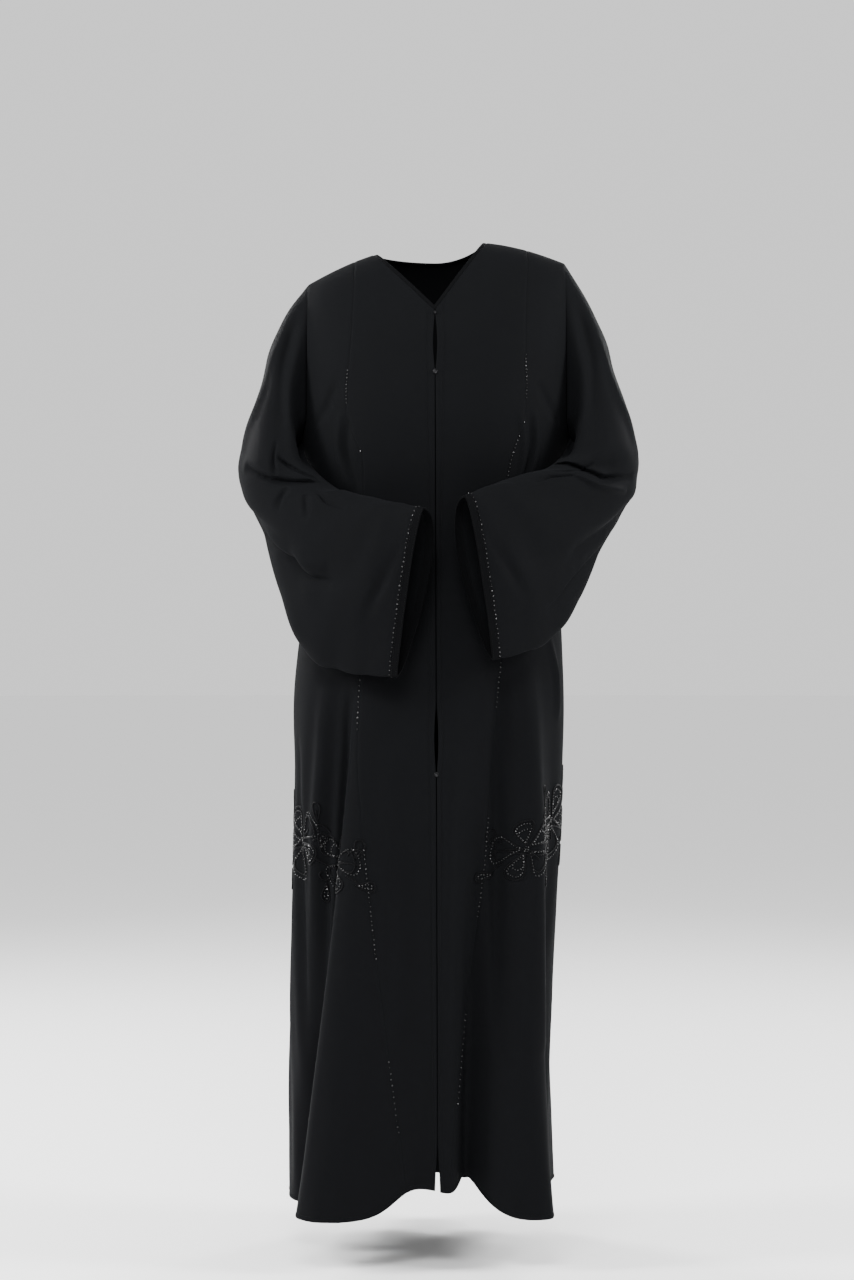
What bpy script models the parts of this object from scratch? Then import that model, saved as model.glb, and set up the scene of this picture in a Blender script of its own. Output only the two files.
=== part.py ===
"""A front-opening crepe abaya, hollow and hung as it is worn, made of its sewn pieces.

The origin is midway between the high points of the two shoulders, where the cloak is carried.
+Z is up, the front faces -Y and the left side of the cloak, as it is worn, is at +X.
Tables are in millimetres and degrees, and every function returns metres and radians.
"""

import math
from typing import NamedTuple

import bpy
import numpy as np

MM = 0.001
RIGHT, LEFT = -1.0, 1.0
FRONT, BACK = -1.0, 1.0

CLOTH = 1.5 * MM
SEAM_GAP = 0.4 * MM
ARMHOLE_GAP = 0.6 * MM
HEM_HEIGHT = -1340.0 * MM
ARMPIT_HEIGHT = -285.0 * MM
ARMHOLE_RISE = 50.0 * MM
ARMHOLE_REACH = {RIGHT: 180.0 * MM, LEFT: 185.0 * MM}
SHOULDER_TILT = 0.09
SHOULDER_TOP = 8.0 * MM
SHOULDER_DROP = 44.0 * MM
SHOULDER_START = 50.0 * MM
SHOULDER_RUN = 140.0 * MM
SHOULDER_CURVE = 1.6
SHOULDER_SEAM_Y = 5.0 * MM
SECTION_POWER = 2.3
YOKE_POWER = 2.4
NECK_HALF = {RIGHT: 88.0 * MM, LEFT: 75.0 * MM}
V_POINT_HEIGHT = -94.0 * MM
BACK_NECK_HEIGHT = -12.0 * MM
BACK_LINE_SHARE = 0.56
BACK_LINE_FADE = 150.0 * MM
EDGE_HALF_GAP = 0.4 * MM
EDGE_LEAN = 4.0 * MM
FOLD_GROWTH = 1.1
FOLD_LIMIT = 1.1
CREASE_FADE = 0.08
ARMHOLE_FADE = 0.3

BINDING_WIDTH = 5.0 * MM
BINDING_GAP = 0.8 * MM
BINDING_CLOTH = 2.0 * MM
BINDING_END_WAY = (0.0, -0.2, 1.2)
CUFF_WIDTH = 11.0 * MM
CUFF_CLOTH = 2.4 * MM
CUFF_RAISED = 0.4 * MM
CLOSURE_LIFT = 0.4 * MM
CLOSURE_ROUNDING = 0.42
SLOPE_SPAN = 4.0 * MM
SHARP_ANGLE = math.radians(50.0)

NECK_COLUMNS = 4
YOKE_COLUMNS = 2
SIDE_COLUMNS = 13
SIDE_SPACING = 1.2
SKIRT_ROWS = 19
YOKE_ROWS = 10
SLEEVE_RINGS = 17
TOP_EDGE_STEPS = 12


class BodySection(NamedTuple):
    height: float
    right: float
    left: float
    front: float
    back: float


BODY_SECTIONS = (
    BodySection(-1345, 204, 164, 184, 160),
    BodySection(-1230, 200, 162, 176, 157),
    BodySection(-1060, 197, 165, 165, 153),
    BodySection(-920, 197, 173, 156, 150),
    BodySection(-735, 198, 181, 146, 148),
    BodySection(-560, 193, 181, 133, 135),
    BodySection(-480, 181, 177, 124, 122),
    BodySection(-400, 175, 175, 121, 113),
    BodySection(-285, 188, 190, 127, 119),
    BodySection(-180, 191, 196, 126, 124),
    BodySection(0, 191, 197, 118, 120),
)


class SeamPlace(NamedTuple):
    height: float
    right: float
    left: float


PRINCESS_SEAM = (
    SeamPlace(-1345, 38, 20),
    SeamPlace(-1260, 46, 26),
    SeamPlace(-1185, 56, 35),
    SeamPlace(-1065, 69, 50),
    SeamPlace(-930, 83, 66),
    SeamPlace(-800, 95, 78),
    SeamPlace(-675, 103, 87),
    SeamPlace(-590, 101, 90),
    SeamPlace(-340, 99, 99),
    SeamPlace(-290, 103, 109),
    SeamPlace(-255, 118, 121),
    SeamPlace(-220, 122, 126),
    SeamPlace(-160, 118, 126),
    SeamPlace(-95, 114, 127),
    SeamPlace(-20, 113, 131),
)


class EdgeOpening(NamedTuple):
    name: str
    top: float
    bottom: float
    half_gap: float


EDGE_OPENINGS = (
    EdgeOpening("between the neck hook and the chest snap", -101, -178, 2.3),
    EdgeOpening("above the lower snap", -640, -733, 2.2),
    EdgeOpening("at the hem", -1240, -1440, 3.5),
)


class Fold(NamedTuple):
    name: str
    start_height: float
    start_angle: float
    hem_angle: float
    start_half_width: float
    hem_half_width: float
    reach: float


FOLDS = (
    Fold("front flare, right", -480, -22, -42, 12, 17, 48),
    Fold("side valley, right", -540, -33, -68, 8, 9, -48),
    Fold("side ridge, right", -520, -47, -112, 9, 14, 14),
    Fold("hollow behind the front edge, right", -800, -6, -7, 13, 12, -20),
    Fold("valley beside the front edge, left", -740, 12, 18, 6, 10, -60),
    Fold("front flare, left", -500, 38, 46, 13, 15, 44),
    Fold("side valley, left", -580, 60, 78, 8, 9, -24),
    Fold("back quarter ridge, left", -640, 108, 108, 12, 12, 13),
    Fold("back valley, right", -560, -125, -130, 9, 10, -26),
    Fold("back valley, left", -580, 124, 128, 9, 10, -24),
    Fold("back ridge, right", -520, -143, -150, 10, 11, 28),
    Fold("back ridge, left", -560, 142, 148, 10, 11, 26),
    Fold("inner back valley, right", -620, -160, -168, 9, 9, -26),
    Fold("inner back valley, left", -600, 158, 166, 9, 9, -22),
    Fold("centre back ridge", -500, 178, 183, 9, 10, 24),
)


class HemRise(NamedTuple):
    name: str
    angle: float
    half_width: float
    rise: float


HEM_RISES = (
    HemRise("front edges", -4, 12, 40),
    HemRise("valley beside the front edge", 17, 10, 50),
    HemRise("left side", 100, 16, 18),
)


class SleeveSection(NamedTuple):
    name: str
    outer: tuple
    inner: tuple
    front: float
    rear: float
    turn: float
    taper: float


SLEEVE_SECTIONS = {
    RIGHT: (
        SleeveSection("armhole", (-180, 5, -45), (-188, 0, -285), 78, 78, 0, 0.0),
        SleeveSection("shoulder", (-222, 3, -109), (-197, -28, -290), 76, 70, 0, 0.0),
        SleeveSection("upper arm", (-245, 4, -186), (-188, -68, -298), 60, 60, 6, 0.0),
        SleeveSection("above the elbow", (-264, 8, -272), (-170, -104, -315), 52, 32, 28, 0.0),
        SleeveSection("elbow", (-266, 0, -341), (-139, -125, -340), 46, 20, 40, 0.0),
        SleeveSection("below the elbow", (-240, -30, -404), (-124, -135, -345), 42, 20, 42, 0.1),
        SleeveSection("corner", (-212, -66, -487), (-109, -144, -350), 38, 20, 42, 0.2),
        SleeveSection("forearm", (-179, -106, -565), (-88, -156, -355), 34, 22, 40, 0.3),
        SleeveSection("mid forearm", (-132, -142, -591), (-66, -171, -361), 28, 26, 36, 0.4),
        SleeveSection("lower forearm", (-90, -166, -599), (-40, -184, -367), 20, 32, 34, 0.4),
        SleeveSection("cuff", (-51, -185, -601), (-15, -200, -373), 9, 38, 33, 0.4),
    ),
    LEFT: (
        SleeveSection("armhole", (185, 5, -17), (190, 0, -285), 78, 78, 0, 0.0),
        SleeveSection("shoulder", (231, 3, -98), (199, -28, -288), 76, 70, 0, 0.0),
        SleeveSection("upper arm", (254, 4, -168), (191, -68, -292), 60, 60, 6, 0.0),
        SleeveSection("above the elbow", (275, 8, -254), (176, -104, -300), 52, 32, 28, 0.0),
        SleeveSection("elbow", (279, 0, -324), (157, -125, -313), 46, 20, 40, 0.0),
        SleeveSection("below the elbow", (262, -26, -377), (139, -136, -319), 42, 20, 42, 0.1),
        SleeveSection("corner", (228, -56, -430), (120, -146, -324), 38, 20, 42, 0.2),
        SleeveSection("forearm", (199, -92, -495), (100, -156, -331), 34, 22, 40, 0.3),
        SleeveSection("mid forearm", (163, -127, -545), (81, -169, -338), 28, 26, 36, 0.4),
        SleeveSection("lower forearm", (123, -157, -567), (60, -183, -347), 20, 32, 34, 0.4),
        SleeveSection("cuff", (78, -180, -578), (40, -198, -357), 9, 38, 33, 0.4),
    ),
}


class SleeveCrease(NamedTuple):
    name: str
    start_ring: float
    start_angle: float
    end_ring: float
    end_angle: float
    half_width: float
    reach: float


SLEEVE_CREASES = {
    RIGHT: (
        SleeveCrease("hollow outside the armhole", 0.06, 70, 0.30, 138, 22, -12),
        SleeveCrease("recess below the elbow", 0.47, 20, 0.60, 62, 16, -14),
        SleeveCrease("long valley of the forearm", 0.80, 128, 0.66, 60, 22, -9),
        SleeveCrease("inner elbow crease", 0.36, 120, 0.40, 165, 16, -8),
    ),
    LEFT: (
        SleeveCrease("hollow outside the armhole", 0.06, 70, 0.30, 138, 22, -12),
        SleeveCrease("recess below the elbow", 0.50, 20, 0.66, 52, 16, -14),
        SleeveCrease("long valley of the forearm", 0.84, 128, 0.72, 62, 22, -7),
        SleeveCrease("inner elbow crease", 0.38, 100, 0.40, 165, 16, -10),
    ),
}


class Closure(NamedTuple):
    name: str
    height: float
    width: float
    length: float
    thickness: float


CLOSURES = (
    Closure("neck_hook", -98, 5.4, 4.6, 2.2),
    Closure("chest_snap", -181, 6.4, 8.0, 1.8),
    Closure("lower_snap", -735, 6.4, 8.0, 1.8),
)

CREPE_COLOUR = (0.010, 0.0105, 0.012, 1.0)
TRIM_COLOUR = (0.007, 0.007, 0.008, 1.0)
METAL_COLOUR = (0.16, 0.16, 0.17, 1.0)


def smooth_step(share):
    """Rises from 0 to 1 with level ends."""
    share = np.clip(share, 0.0, 1.0)
    return share * share * (3.0 - 2.0 * share)


def smooth_through(at, places, values):
    """Cubic curve through the values, with the slope at each place taken from its neighbours."""
    at = np.clip(at, places[0], places[-1])
    slopes = np.gradient(values, places)
    step = np.clip(np.searchsorted(places, at, side="right") - 1, 0, len(places) - 2)
    run = places[step + 1] - places[step]
    share = (at - places[step]) / run
    from_start = values[step] + slopes[step] * run * share
    from_end = values[step + 1] - slopes[step + 1] * run * (1.0 - share)
    return from_start + (from_end - from_start) * smooth_step(share)


def column(table, name, scale=MM):
    return np.array([getattr(row, name) for row in table], dtype=float) * scale


def signed_power(value, power):
    return np.sign(value) * np.abs(value) ** power


def half_width(side, height):
    name = "right" if side == RIGHT else "left"
    return smooth_through(height, column(BODY_SECTIONS, "height"), column(BODY_SECTIONS, name))


def depth(face, height):
    name = "front" if face == FRONT else "back"
    return smooth_through(height, column(BODY_SECTIONS, "height"), column(BODY_SECTIONS, name))


def side_reach(side, height):
    """How far out the outermost column lies: the side seam, and above it the armhole's edge."""
    full = half_width(side, height)
    share = smooth_step((height - ARMPIT_HEIGHT) / ARMHOLE_RISE)
    return full + (ARMHOLE_REACH[side] - full) * share


def shoulder_height(across):
    """Height of the shoulder line at a distance across, higher on the left."""
    beyond = np.maximum(np.abs(across) - SHOULDER_START, 0.0) / SHOULDER_RUN
    return SHOULDER_TOP + SHOULDER_TILT * across - SHOULDER_DROP * beyond**SHOULDER_CURVE


def seam_angle(side, across, height):
    """The column angle at which the cloth lies that far from the centre."""
    share = np.clip(across * side / side_reach(side, height), -1.0, 1.0)
    return np.arcsin(signed_power(share, SECTION_POWER / 2.0))


def princess_place(side, face, height):
    name = "right" if side == RIGHT else "left"
    front_line = smooth_through(height, column(PRINCESS_SEAM, "height"), column(PRINCESS_SEAM, name))
    if face == FRONT:
        return side * front_line
    top = PRINCESS_SEAM[-1].height * MM
    share = smooth_step((top - height) / BACK_LINE_FADE)
    return side * (front_line + (BACK_LINE_SHARE * half_width(side, height) - front_line) * share)


def edge_place(side, height):
    """Where the front edge runs, with the gaps that stand open between the closures."""
    gap = np.full_like(height, EDGE_HALF_GAP)
    for opening in EDGE_OPENINGS:
        share = (opening.top * MM - height) / ((opening.top - opening.bottom) * MM)
        gap = gap + opening.half_gap * MM * np.sin(np.pi * np.clip(share, 0.0, 1.0))
    return EDGE_LEAN * height / HEM_HEIGHT + side * gap


def fold_reach(around, height):
    """How far the folds push the cloth out at an angle round the body, counted from the front."""
    reach = np.zeros_like(around)
    for fold in FOLDS:
        down = (fold.start_height * MM - height) / (fold.start_height * MM - HEM_HEIGHT)
        down = np.clip(down, 0.0, FOLD_LIMIT)
        centre = fold.start_angle + (fold.hem_angle - fold.start_angle) * down
        half = fold.start_half_width + (fold.hem_half_width - fold.start_half_width) * down
        away = (np.degrees(around) - centre + 180.0) % 360.0 - 180.0
        reach = reach + fold.reach * MM * down**FOLD_GROWTH * np.exp(-((away / half) ** 2))
    return reach


def hem_height(around):
    """The hem's height at an angle round the body."""
    height = np.full_like(around, HEM_HEIGHT)
    for rise in HEM_RISES:
        away = (np.degrees(around) - rise.angle + 180.0) % 360.0 - 180.0
        height = height + rise.rise * MM * np.exp(-((away / rise.half_width) ** 2))
    return height


def body_point(side, face, angle, height):
    """A point of the cloth, by its angle from the centre line to the side and its height.

    A level section is a superellipse. Above the armpits the cloth also curves in to the shoulder
    line, along a second superellipse that stands upright.
    """
    across = side * side_reach(side, height) * signed_power(np.sin(angle), 2.0 / SECTION_POWER)
    wide, deep = half_width(side, height), depth(face, height)
    share = np.clip(1.0 - (np.abs(across) / wide) ** SECTION_POWER, 0.0, 1.0)
    forward = deep * share ** (1.0 / SECTION_POWER)
    out_x = side * np.clip(np.abs(across) / wide, 0.0, 1.0) ** (SECTION_POWER - 1.0) / wide
    out_y = face * (forward / deep) ** (SECTION_POWER - 1.0) / deep
    length = np.hypot(out_x, out_y)
    around = side * angle if face == FRONT else side * (np.pi - angle)
    reach = fold_reach(around, height)
    up = (height - ARMPIT_HEIGHT) / (shoulder_height(across) - ARMPIT_HEIGHT)
    inward = (1.0 - np.clip(up, 0.0, 1.0) ** YOKE_POWER) ** (1.0 / YOKE_POWER)
    along = SHOULDER_SEAM_Y + (face * forward - SHOULDER_SEAM_Y) * inward
    along = np.where(up > 0.0, along, face * forward)
    return np.stack([across + reach * out_x / length, along + reach * out_y / length, height], axis=-1)


def neck_line(side, face, across):
    """Height of the neck's edge: straight sides of the V in front, a shallow curve behind."""
    share = np.clip(np.abs(across) / NECK_HALF[side], 0.0, 1.0)
    top = shoulder_height(side * NECK_HALF[side])
    if face == FRONT:
        return V_POINT_HEIGHT + (top - V_POINT_HEIGHT) * share
    return BACK_NECK_HEIGHT + (top - BACK_NECK_HEIGHT) * share**2


def column_angle(side, face, share, height):
    """Angle of a column. Its share is 0 at the centre, 1 at the princess seam, 2 at the side."""
    centre = seam_angle(side, edge_place(side, height), height) if face == FRONT else 0.0
    princess = seam_angle(side, princess_place(side, face, height), height)
    inner = centre + (princess - centre) * np.minimum(share, 1.0)
    return inner + (np.pi / 2.0 - princess) * np.maximum(share - 1.0, 0.0)


def column_shares(side, face):
    """The columns' shares, with one column at the high point of the shoulder."""
    top = shoulder_height(side * NECK_HALF[side])
    centre = column_angle(side, face, 0.0, np.array(top))
    princess = column_angle(side, face, 1.0, np.array(top))
    high_point = float((seam_angle(side, side * NECK_HALF[side], top) - centre) / (princess - centre))
    neck = np.linspace(0.0, high_point, NECK_COLUMNS + 1)
    yoke = np.linspace(high_point, 1.0, YOKE_COLUMNS + 1)[1:]
    panel = 1.0 + np.linspace(0.0, 1.0, SIDE_COLUMNS + 1)[1:] ** (SIDE_SPACING if face == FRONT else 1.0)
    return np.concatenate([neck, yoke, panel])


def body_grid(side, face):
    """Points in rows from the hem up and columns from the centre out to the side or armhole."""
    shares = column_shares(side, face)
    inside_neck = np.arange(len(shares)) <= NECK_COLUMNS
    top = np.full(len(shares), ARMPIT_HEIGHT)
    for _ in range(TOP_EDGE_STEPS):
        angle = column_angle(side, face, shares, top)
        across = side * side_reach(side, top) * signed_power(np.sin(angle), 2.0 / SECTION_POWER)
        top = np.where(inside_neck, neck_line(side, face, across), shoulder_height(across))
    low_angle = column_angle(side, face, shares, np.full(len(shares), HEM_HEIGHT))
    around = side * low_angle if face == FRONT else side * (np.pi - low_angle)
    low = hem_height(around)
    skirt = np.linspace(0.0, 1.0, SKIRT_ROWS + 1)[:, None]
    yoke = np.sin(np.linspace(0.0, np.pi / 2.0, YOKE_ROWS + 1))[1:, None]
    heights = np.concatenate([low + (ARMPIT_HEIGHT - low) * skirt, ARMPIT_HEIGHT + (top - ARMPIT_HEIGHT) * yoke])
    angles = column_angle(side, face, shares[None, :], heights)
    return body_point(side, face, angles, heights)


def unit(vectors):
    return vectors / np.maximum(np.linalg.norm(vectors, axis=-1, keepdims=True), 1e-12)


def sleeve_ring(side, share, angles):
    """One ring of the sleeve, by its share of the way from the armhole to the cuff.

    The angle is 0 on the outer line, 90 degrees on the front, 180 on the inner line.
    """
    sections = SLEEVE_SECTIONS[side]
    places = np.linspace(0.0, 1.0, len(sections))
    outer = np.array([smooth_through(share, places, np.array([s.outer[k] for s in sections])) for k in range(3)])
    inner = np.array([smooth_through(share, places, np.array([s.inner[k] for s in sections])) for k in range(3)])
    front, rear, turn, taper = (
        smooth_through(share, places, column(sections, name, 1.0)) for name in ("front", "rear", "turn", "taper")
    )
    turn = math.radians(turn)
    facing = np.array([side * math.sin(turn), -math.cos(turn), 0.0])
    along, across = np.cos(angles), np.sin(angles)
    thick = np.where(across > 0.0, front, rear) * across * (1.0 - taper * along)
    points = (outer + inner) / 2.0 + along[:, None] * (outer - inner) / 2.0 + thick[:, None] * facing
    return points * MM


def crease_reach(side, share, angles):
    """How far the sleeve's creases push a ring out; each runs between two places on the sleeve."""
    reach = np.zeros_like(angles)
    for crease in SLEEVE_CREASES[side]:
        start = np.array([crease.start_ring, math.radians(crease.start_angle)])
        end = np.array([crease.end_ring, math.radians(crease.end_angle)])
        half = math.radians(crease.half_width)
        scale = np.array([2.0 * np.pi, 1.0])
        line = (end - start) * scale
        here = (np.stack([np.full_like(angles, share), angles], axis=-1) - start) * scale
        along = np.clip(here @ line / (line @ line), 0.0, 1.0)
        away = np.linalg.norm(here - along[:, None] * line, axis=1)
        reach = reach + crease.reach * MM * np.exp(-((away / half) ** 2))
    return reach


def armhole_loop(front_grid, back_grid):
    """The armhole's edge, from the shoulder down the front and up the back."""
    down = front_grid[SKIRT_ROWS:, -1][::-1]
    up = back_grid[SKIRT_ROWS:, -1][1:-1]
    return np.concatenate([down, up])


def sleeve_grid(side, front_grid, back_grid):
    """Rings from the armhole to the start of the cuff band, and then the cuff's own edge."""
    loop = armhole_loop(front_grid, back_grid)
    angles = np.linspace(0.0, 2.0 * np.pi, len(loop), endpoint=False)
    first = loop - sleeve_ring(side, 0.0, angles)
    rings = []
    for share in np.linspace(0.0, 1.0, SLEEVE_RINGS):
        ring = sleeve_ring(side, share, angles)
        centre = ring.mean(axis=0)
        outward = unit(ring - centre)
        ring = ring + outward * (crease_reach(side, share, angles) * smooth_step(share / CREASE_FADE))[:, None]
        rings.append(ring + first * (1.0 - smooth_step(share / ARMHOLE_FADE)))
    last, before = rings[-1], rings[-2]
    band_start = last + unit(before - last) * CUFF_WIDTH
    return np.stack(rings[:-1] + [band_start, last])


def grid_normals(grid, side_column=None, ring=False):
    """Outward normals of a grid whose rows run one way and columns the other."""
    by_row = np.gradient(grid, axis=0)
    if ring:
        by_column = np.roll(grid, -1, axis=1) - np.roll(grid, 1, axis=1)
    else:
        by_column = np.gradient(grid, axis=1)
    if side_column is not None:
        rows = len(side_column)
        by_column[:rows, -1] = (side_column - grid[:rows, -2]) / 2.0
    return unit(np.cross(by_column, by_row))


def drawn_in(grid, first_row=0.0, last_row=0.0, first_column=0.0, last_column=0.0):
    """The same grid with its edges drawn back along the cloth by the given lengths."""
    grid = grid.copy()
    grid[0] += unit(grid[1] - grid[0]) * first_row
    grid[-1] += unit(grid[-2] - grid[-1]) * last_row
    grid[:, 0] += unit(grid[:, 1] - grid[:, 0]) * first_column
    grid[:, -1] += unit(grid[:, -2] - grid[:, -1]) * last_column
    return grid


def grid_faces(grid, ring=False):
    """Triangles of a grid, each square split along its shorter diagonal, which follows a fold."""
    rows, columns = grid.shape[:2]
    last = columns if ring else columns - 1
    row, col = np.meshgrid(np.arange(rows - 1), np.arange(last), indexing="ij")
    beside = (col + 1) % columns
    a, b = row * columns + col, row * columns + beside
    c, d = (row + 1) * columns + beside, (row + 1) * columns + col
    points = grid.reshape(-1, 3)
    rising = np.linalg.norm(points[a] - points[c], axis=-1) <= np.linalg.norm(points[b] - points[d], axis=-1)
    first = np.where(rising[..., None], np.stack([a, b, c], axis=-1), np.stack([a, b, d], axis=-1))
    second = np.where(rising[..., None], np.stack([a, c, d], axis=-1), np.stack([b, c, d], axis=-1))
    return np.concatenate([first.reshape(-1, 3), second.reshape(-1, 3)])


def rim_faces(edge, offset):
    """Triangles that close the wall along an edge given as pairs of point numbers."""
    a, b = edge[:, 0], edge[:, 1]
    return np.concatenate(
        [np.stack([b, a, a + offset], axis=-1), np.stack([b, a + offset, b + offset], axis=-1)]
    )


def border_edges(rows, columns, ring=False):
    """The grid's border as directed pairs, in the order of its triangles."""
    number = np.arange(rows * columns).reshape(rows, columns)
    if ring:
        low = np.stack([number[0], np.roll(number[0], -1)], axis=-1)
        high = np.stack([np.roll(number[-1], -1), number[-1]], axis=-1)
        return np.concatenate([low, high])
    around = np.concatenate([number[0, :-1], number[:-1, -1], number[-1, :0:-1], number[:0:-1, 0]])
    return np.stack([around, np.roll(around, -1)], axis=-1)


def cloth_wall(name, grid, normals, thickness, material, ring=False, flip=False):
    """A closed wall of even thickness whose outer face is the grid."""
    rows, columns = grid.shape[:2]
    outer, inner = grid.reshape(-1, 3), (grid - normals * thickness).reshape(-1, 3)
    faces = grid_faces(grid, ring)
    rim = rim_faces(border_edges(rows, columns, ring), len(outer))
    faces = np.concatenate([faces, faces[:, ::-1] + len(outer), rim])
    if flip:
        faces = faces[:, ::-1]
    mesh = bpy.data.meshes.new(name)
    mesh.from_pydata(np.concatenate([outer, inner]).tolist(), [], faces.tolist())
    mesh.shade_smooth()
    mesh.set_sharp_from_angle(angle=SHARP_ANGLE)
    mesh.materials.append(material)
    piece = bpy.data.objects.new(name, mesh)
    bpy.context.scene.collection.objects.link(piece)
    return piece


def finish(name, colour, roughness, metallic=0.0):
    material = bpy.data.materials.new(name)
    material.use_nodes = True
    shader = material.node_tree.nodes["Principled BSDF"]
    shader.inputs["Base Color"].default_value = colour
    shader.inputs["Roughness"].default_value = roughness
    shader.inputs["Metallic"].default_value = metallic
    return material


def neck_path(grids, normals):
    """The neck's edge from the right front edge, round behind the neck, to the left front edge."""
    stretches = (
        (RIGHT, FRONT, slice(0, NECK_COLUMNS + 1)),
        (RIGHT, BACK, slice(NECK_COLUMNS - 1, None, -1)),
        (LEFT, BACK, slice(1, NECK_COLUMNS)),
        (LEFT, FRONT, slice(NECK_COLUMNS, None, -1)),
    )
    points, facing = [], []
    for side, face, part in stretches:
        points.append(grids[side, face][-1, : NECK_COLUMNS + 1][part])
        facing.append(normals[side, face][-1, : NECK_COLUMNS + 1][part])
    return np.concatenate(points), unit(np.concatenate(facing))


def make_neck_binding(grids, normals, material):
    """A narrow folded strip that goes on from the neck's edge all the way round."""
    points, facing = neck_path(grids, normals)
    tangent = unit(np.gradient(points, axis=0))
    away = unit(np.cross(tangent, facing))
    away[0], away[-1] = BINDING_END_WAY, BINDING_END_WAY
    grid = np.stack([points + away * BINDING_GAP, points + away * BINDING_WIDTH])
    normals = np.stack([facing, facing])
    return cloth_wall("neck_binding", grid, normals, BINDING_CLOTH, material, flip=True)


def make_closure(closure, material):
    """A small rounded tab across the two front edges, just off the cloth."""
    height = np.array([closure.height * MM])
    angle = seam_angle(LEFT, edge_place(LEFT, height), height)
    place = body_point(LEFT, FRONT, angle, height)[0]
    above = body_point(LEFT, FRONT, angle, height + SLOPE_SPAN)[0]
    slope = unit(above - place)
    out = np.array([0.0, -slope[2], slope[1]])
    lift = CLOSURE_LIFT + closure.thickness * MM / 2.0
    turn = math.atan2(slope[1], slope[2])
    bpy.ops.mesh.primitive_cube_add(size=1.0, rotation=(-turn, 0.0, 0.0))
    tab = bpy.context.active_object
    tab.location = (EDGE_LEAN * height[0] / HEM_HEIGHT, *(place + out * lift)[1:])
    tab.name = tab.data.name = closure.name
    tab.scale = (closure.width * MM, closure.thickness * MM, closure.length * MM)
    bpy.ops.object.transform_apply(location=False, rotation=False, scale=True)
    rounding = tab.modifiers.new("rounded edges", "BEVEL")
    rounding.width = closure.thickness * MM * CLOSURE_ROUNDING
    rounding.segments = 3
    tab.data.materials.append(material)
    return tab


def make_body(grids, normals, material):
    """The centre and side panels of each front, and the back in one piece."""
    seam, half = NECK_COLUMNS + YOKE_COLUMNS, SEAM_GAP / 2.0
    for side, word in ((RIGHT, "right"), (LEFT, "left")):
        grid, facing = grids[side, FRONT], normals[side, FRONT]
        centre = drawn_in(grid[:, : seam + 1], last_row=half, last_column=half)
        panel = drawn_in(grid[:, seam:], last_row=half, first_column=half, last_column=half)
        flip = side == RIGHT
        cloth_wall(f"front_centre_{word}", centre, facing[:, : seam + 1], CLOTH, material, flip=flip)
        cloth_wall(f"front_side_{word}", panel, facing[:, seam:], CLOTH, material, flip=flip)
    whole = np.concatenate([grids[RIGHT, BACK][:, ::-1], grids[LEFT, BACK][:, 1:]], axis=1)
    facing = np.concatenate([normals[RIGHT, BACK][:, ::-1], normals[LEFT, BACK][:, 1:]], axis=1)
    whole = drawn_in(whole, last_row=half, first_column=half, last_column=half)
    cloth_wall("back", whole, facing, CLOTH, material, flip=True)


def make_sleeve(side, grid, facing, cloth, trim):
    """A bell sleeve and the narrow band at its cuff."""
    word = "right" if side == RIGHT else "left"
    flip = side == RIGHT
    tube = drawn_in(grid[:-1], first_row=SEAM_GAP / 2.0, last_row=SEAM_GAP)
    tube[0, :, 0] += side * ARMHOLE_GAP
    cloth_wall(f"sleeve_{word}", tube, facing[:-1], CLOTH, cloth, ring=True, flip=flip)
    band = grid[-2:] + facing[-2:] * CUFF_RAISED
    cloth_wall(f"cuff_band_{word}", band, facing[-2:], CUFF_CLOTH, trim, ring=True, flip=flip)


def body_normals(grids):
    """Normals of the four quarters, shared along the side seams, the centre back and the shoulders."""
    normals = {}
    lower = SKIRT_ROWS
    for side in (RIGHT, LEFT):
        for face, other in ((FRONT, BACK), (BACK, FRONT)):
            facing = grid_normals(grids[side, face], grids[side, other][:lower, -2])
            normals[side, face] = facing * (side * face * -1.0)
    for side in (RIGHT, LEFT):
        both = unit(normals[side, FRONT] + normals[side, BACK])
        normals[side, FRONT][: lower + 1, -1] = both[: lower + 1, -1]
        normals[side, BACK][: lower + 1, -1] = both[: lower + 1, -1]
        normals[side, FRONT][-1, NECK_COLUMNS:] = both[-1, NECK_COLUMNS:]
        normals[side, BACK][-1, NECK_COLUMNS:] = both[-1, NECK_COLUMNS:]
    middle = unit(normals[RIGHT, BACK][:, 0] + normals[LEFT, BACK][:, 0])
    normals[RIGHT, BACK][:, 0] = middle
    normals[LEFT, BACK][:, 0] = middle
    return normals


def share_armhole_normals(side, normals, sleeve_facing):
    """Gives the armhole's edge and the sleeve's first ring one direction of thickness."""
    rows = YOKE_ROWS
    loop = np.concatenate([normals[side, FRONT][SKIRT_ROWS:, -1][::-1], normals[side, BACK][SKIRT_ROWS:, -1][1:-1]])
    both = unit(loop + sleeve_facing[0])
    sleeve_facing[0] = both
    normals[side, FRONT][SKIRT_ROWS:, -1] = both[: rows + 1][::-1]
    normals[side, BACK][SKIRT_ROWS:, -1] = np.concatenate([both[rows:], both[:1]])


def clear_scene():
    for thing in list(bpy.data.objects):
        bpy.data.objects.remove(thing, do_unlink=True)


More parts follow.
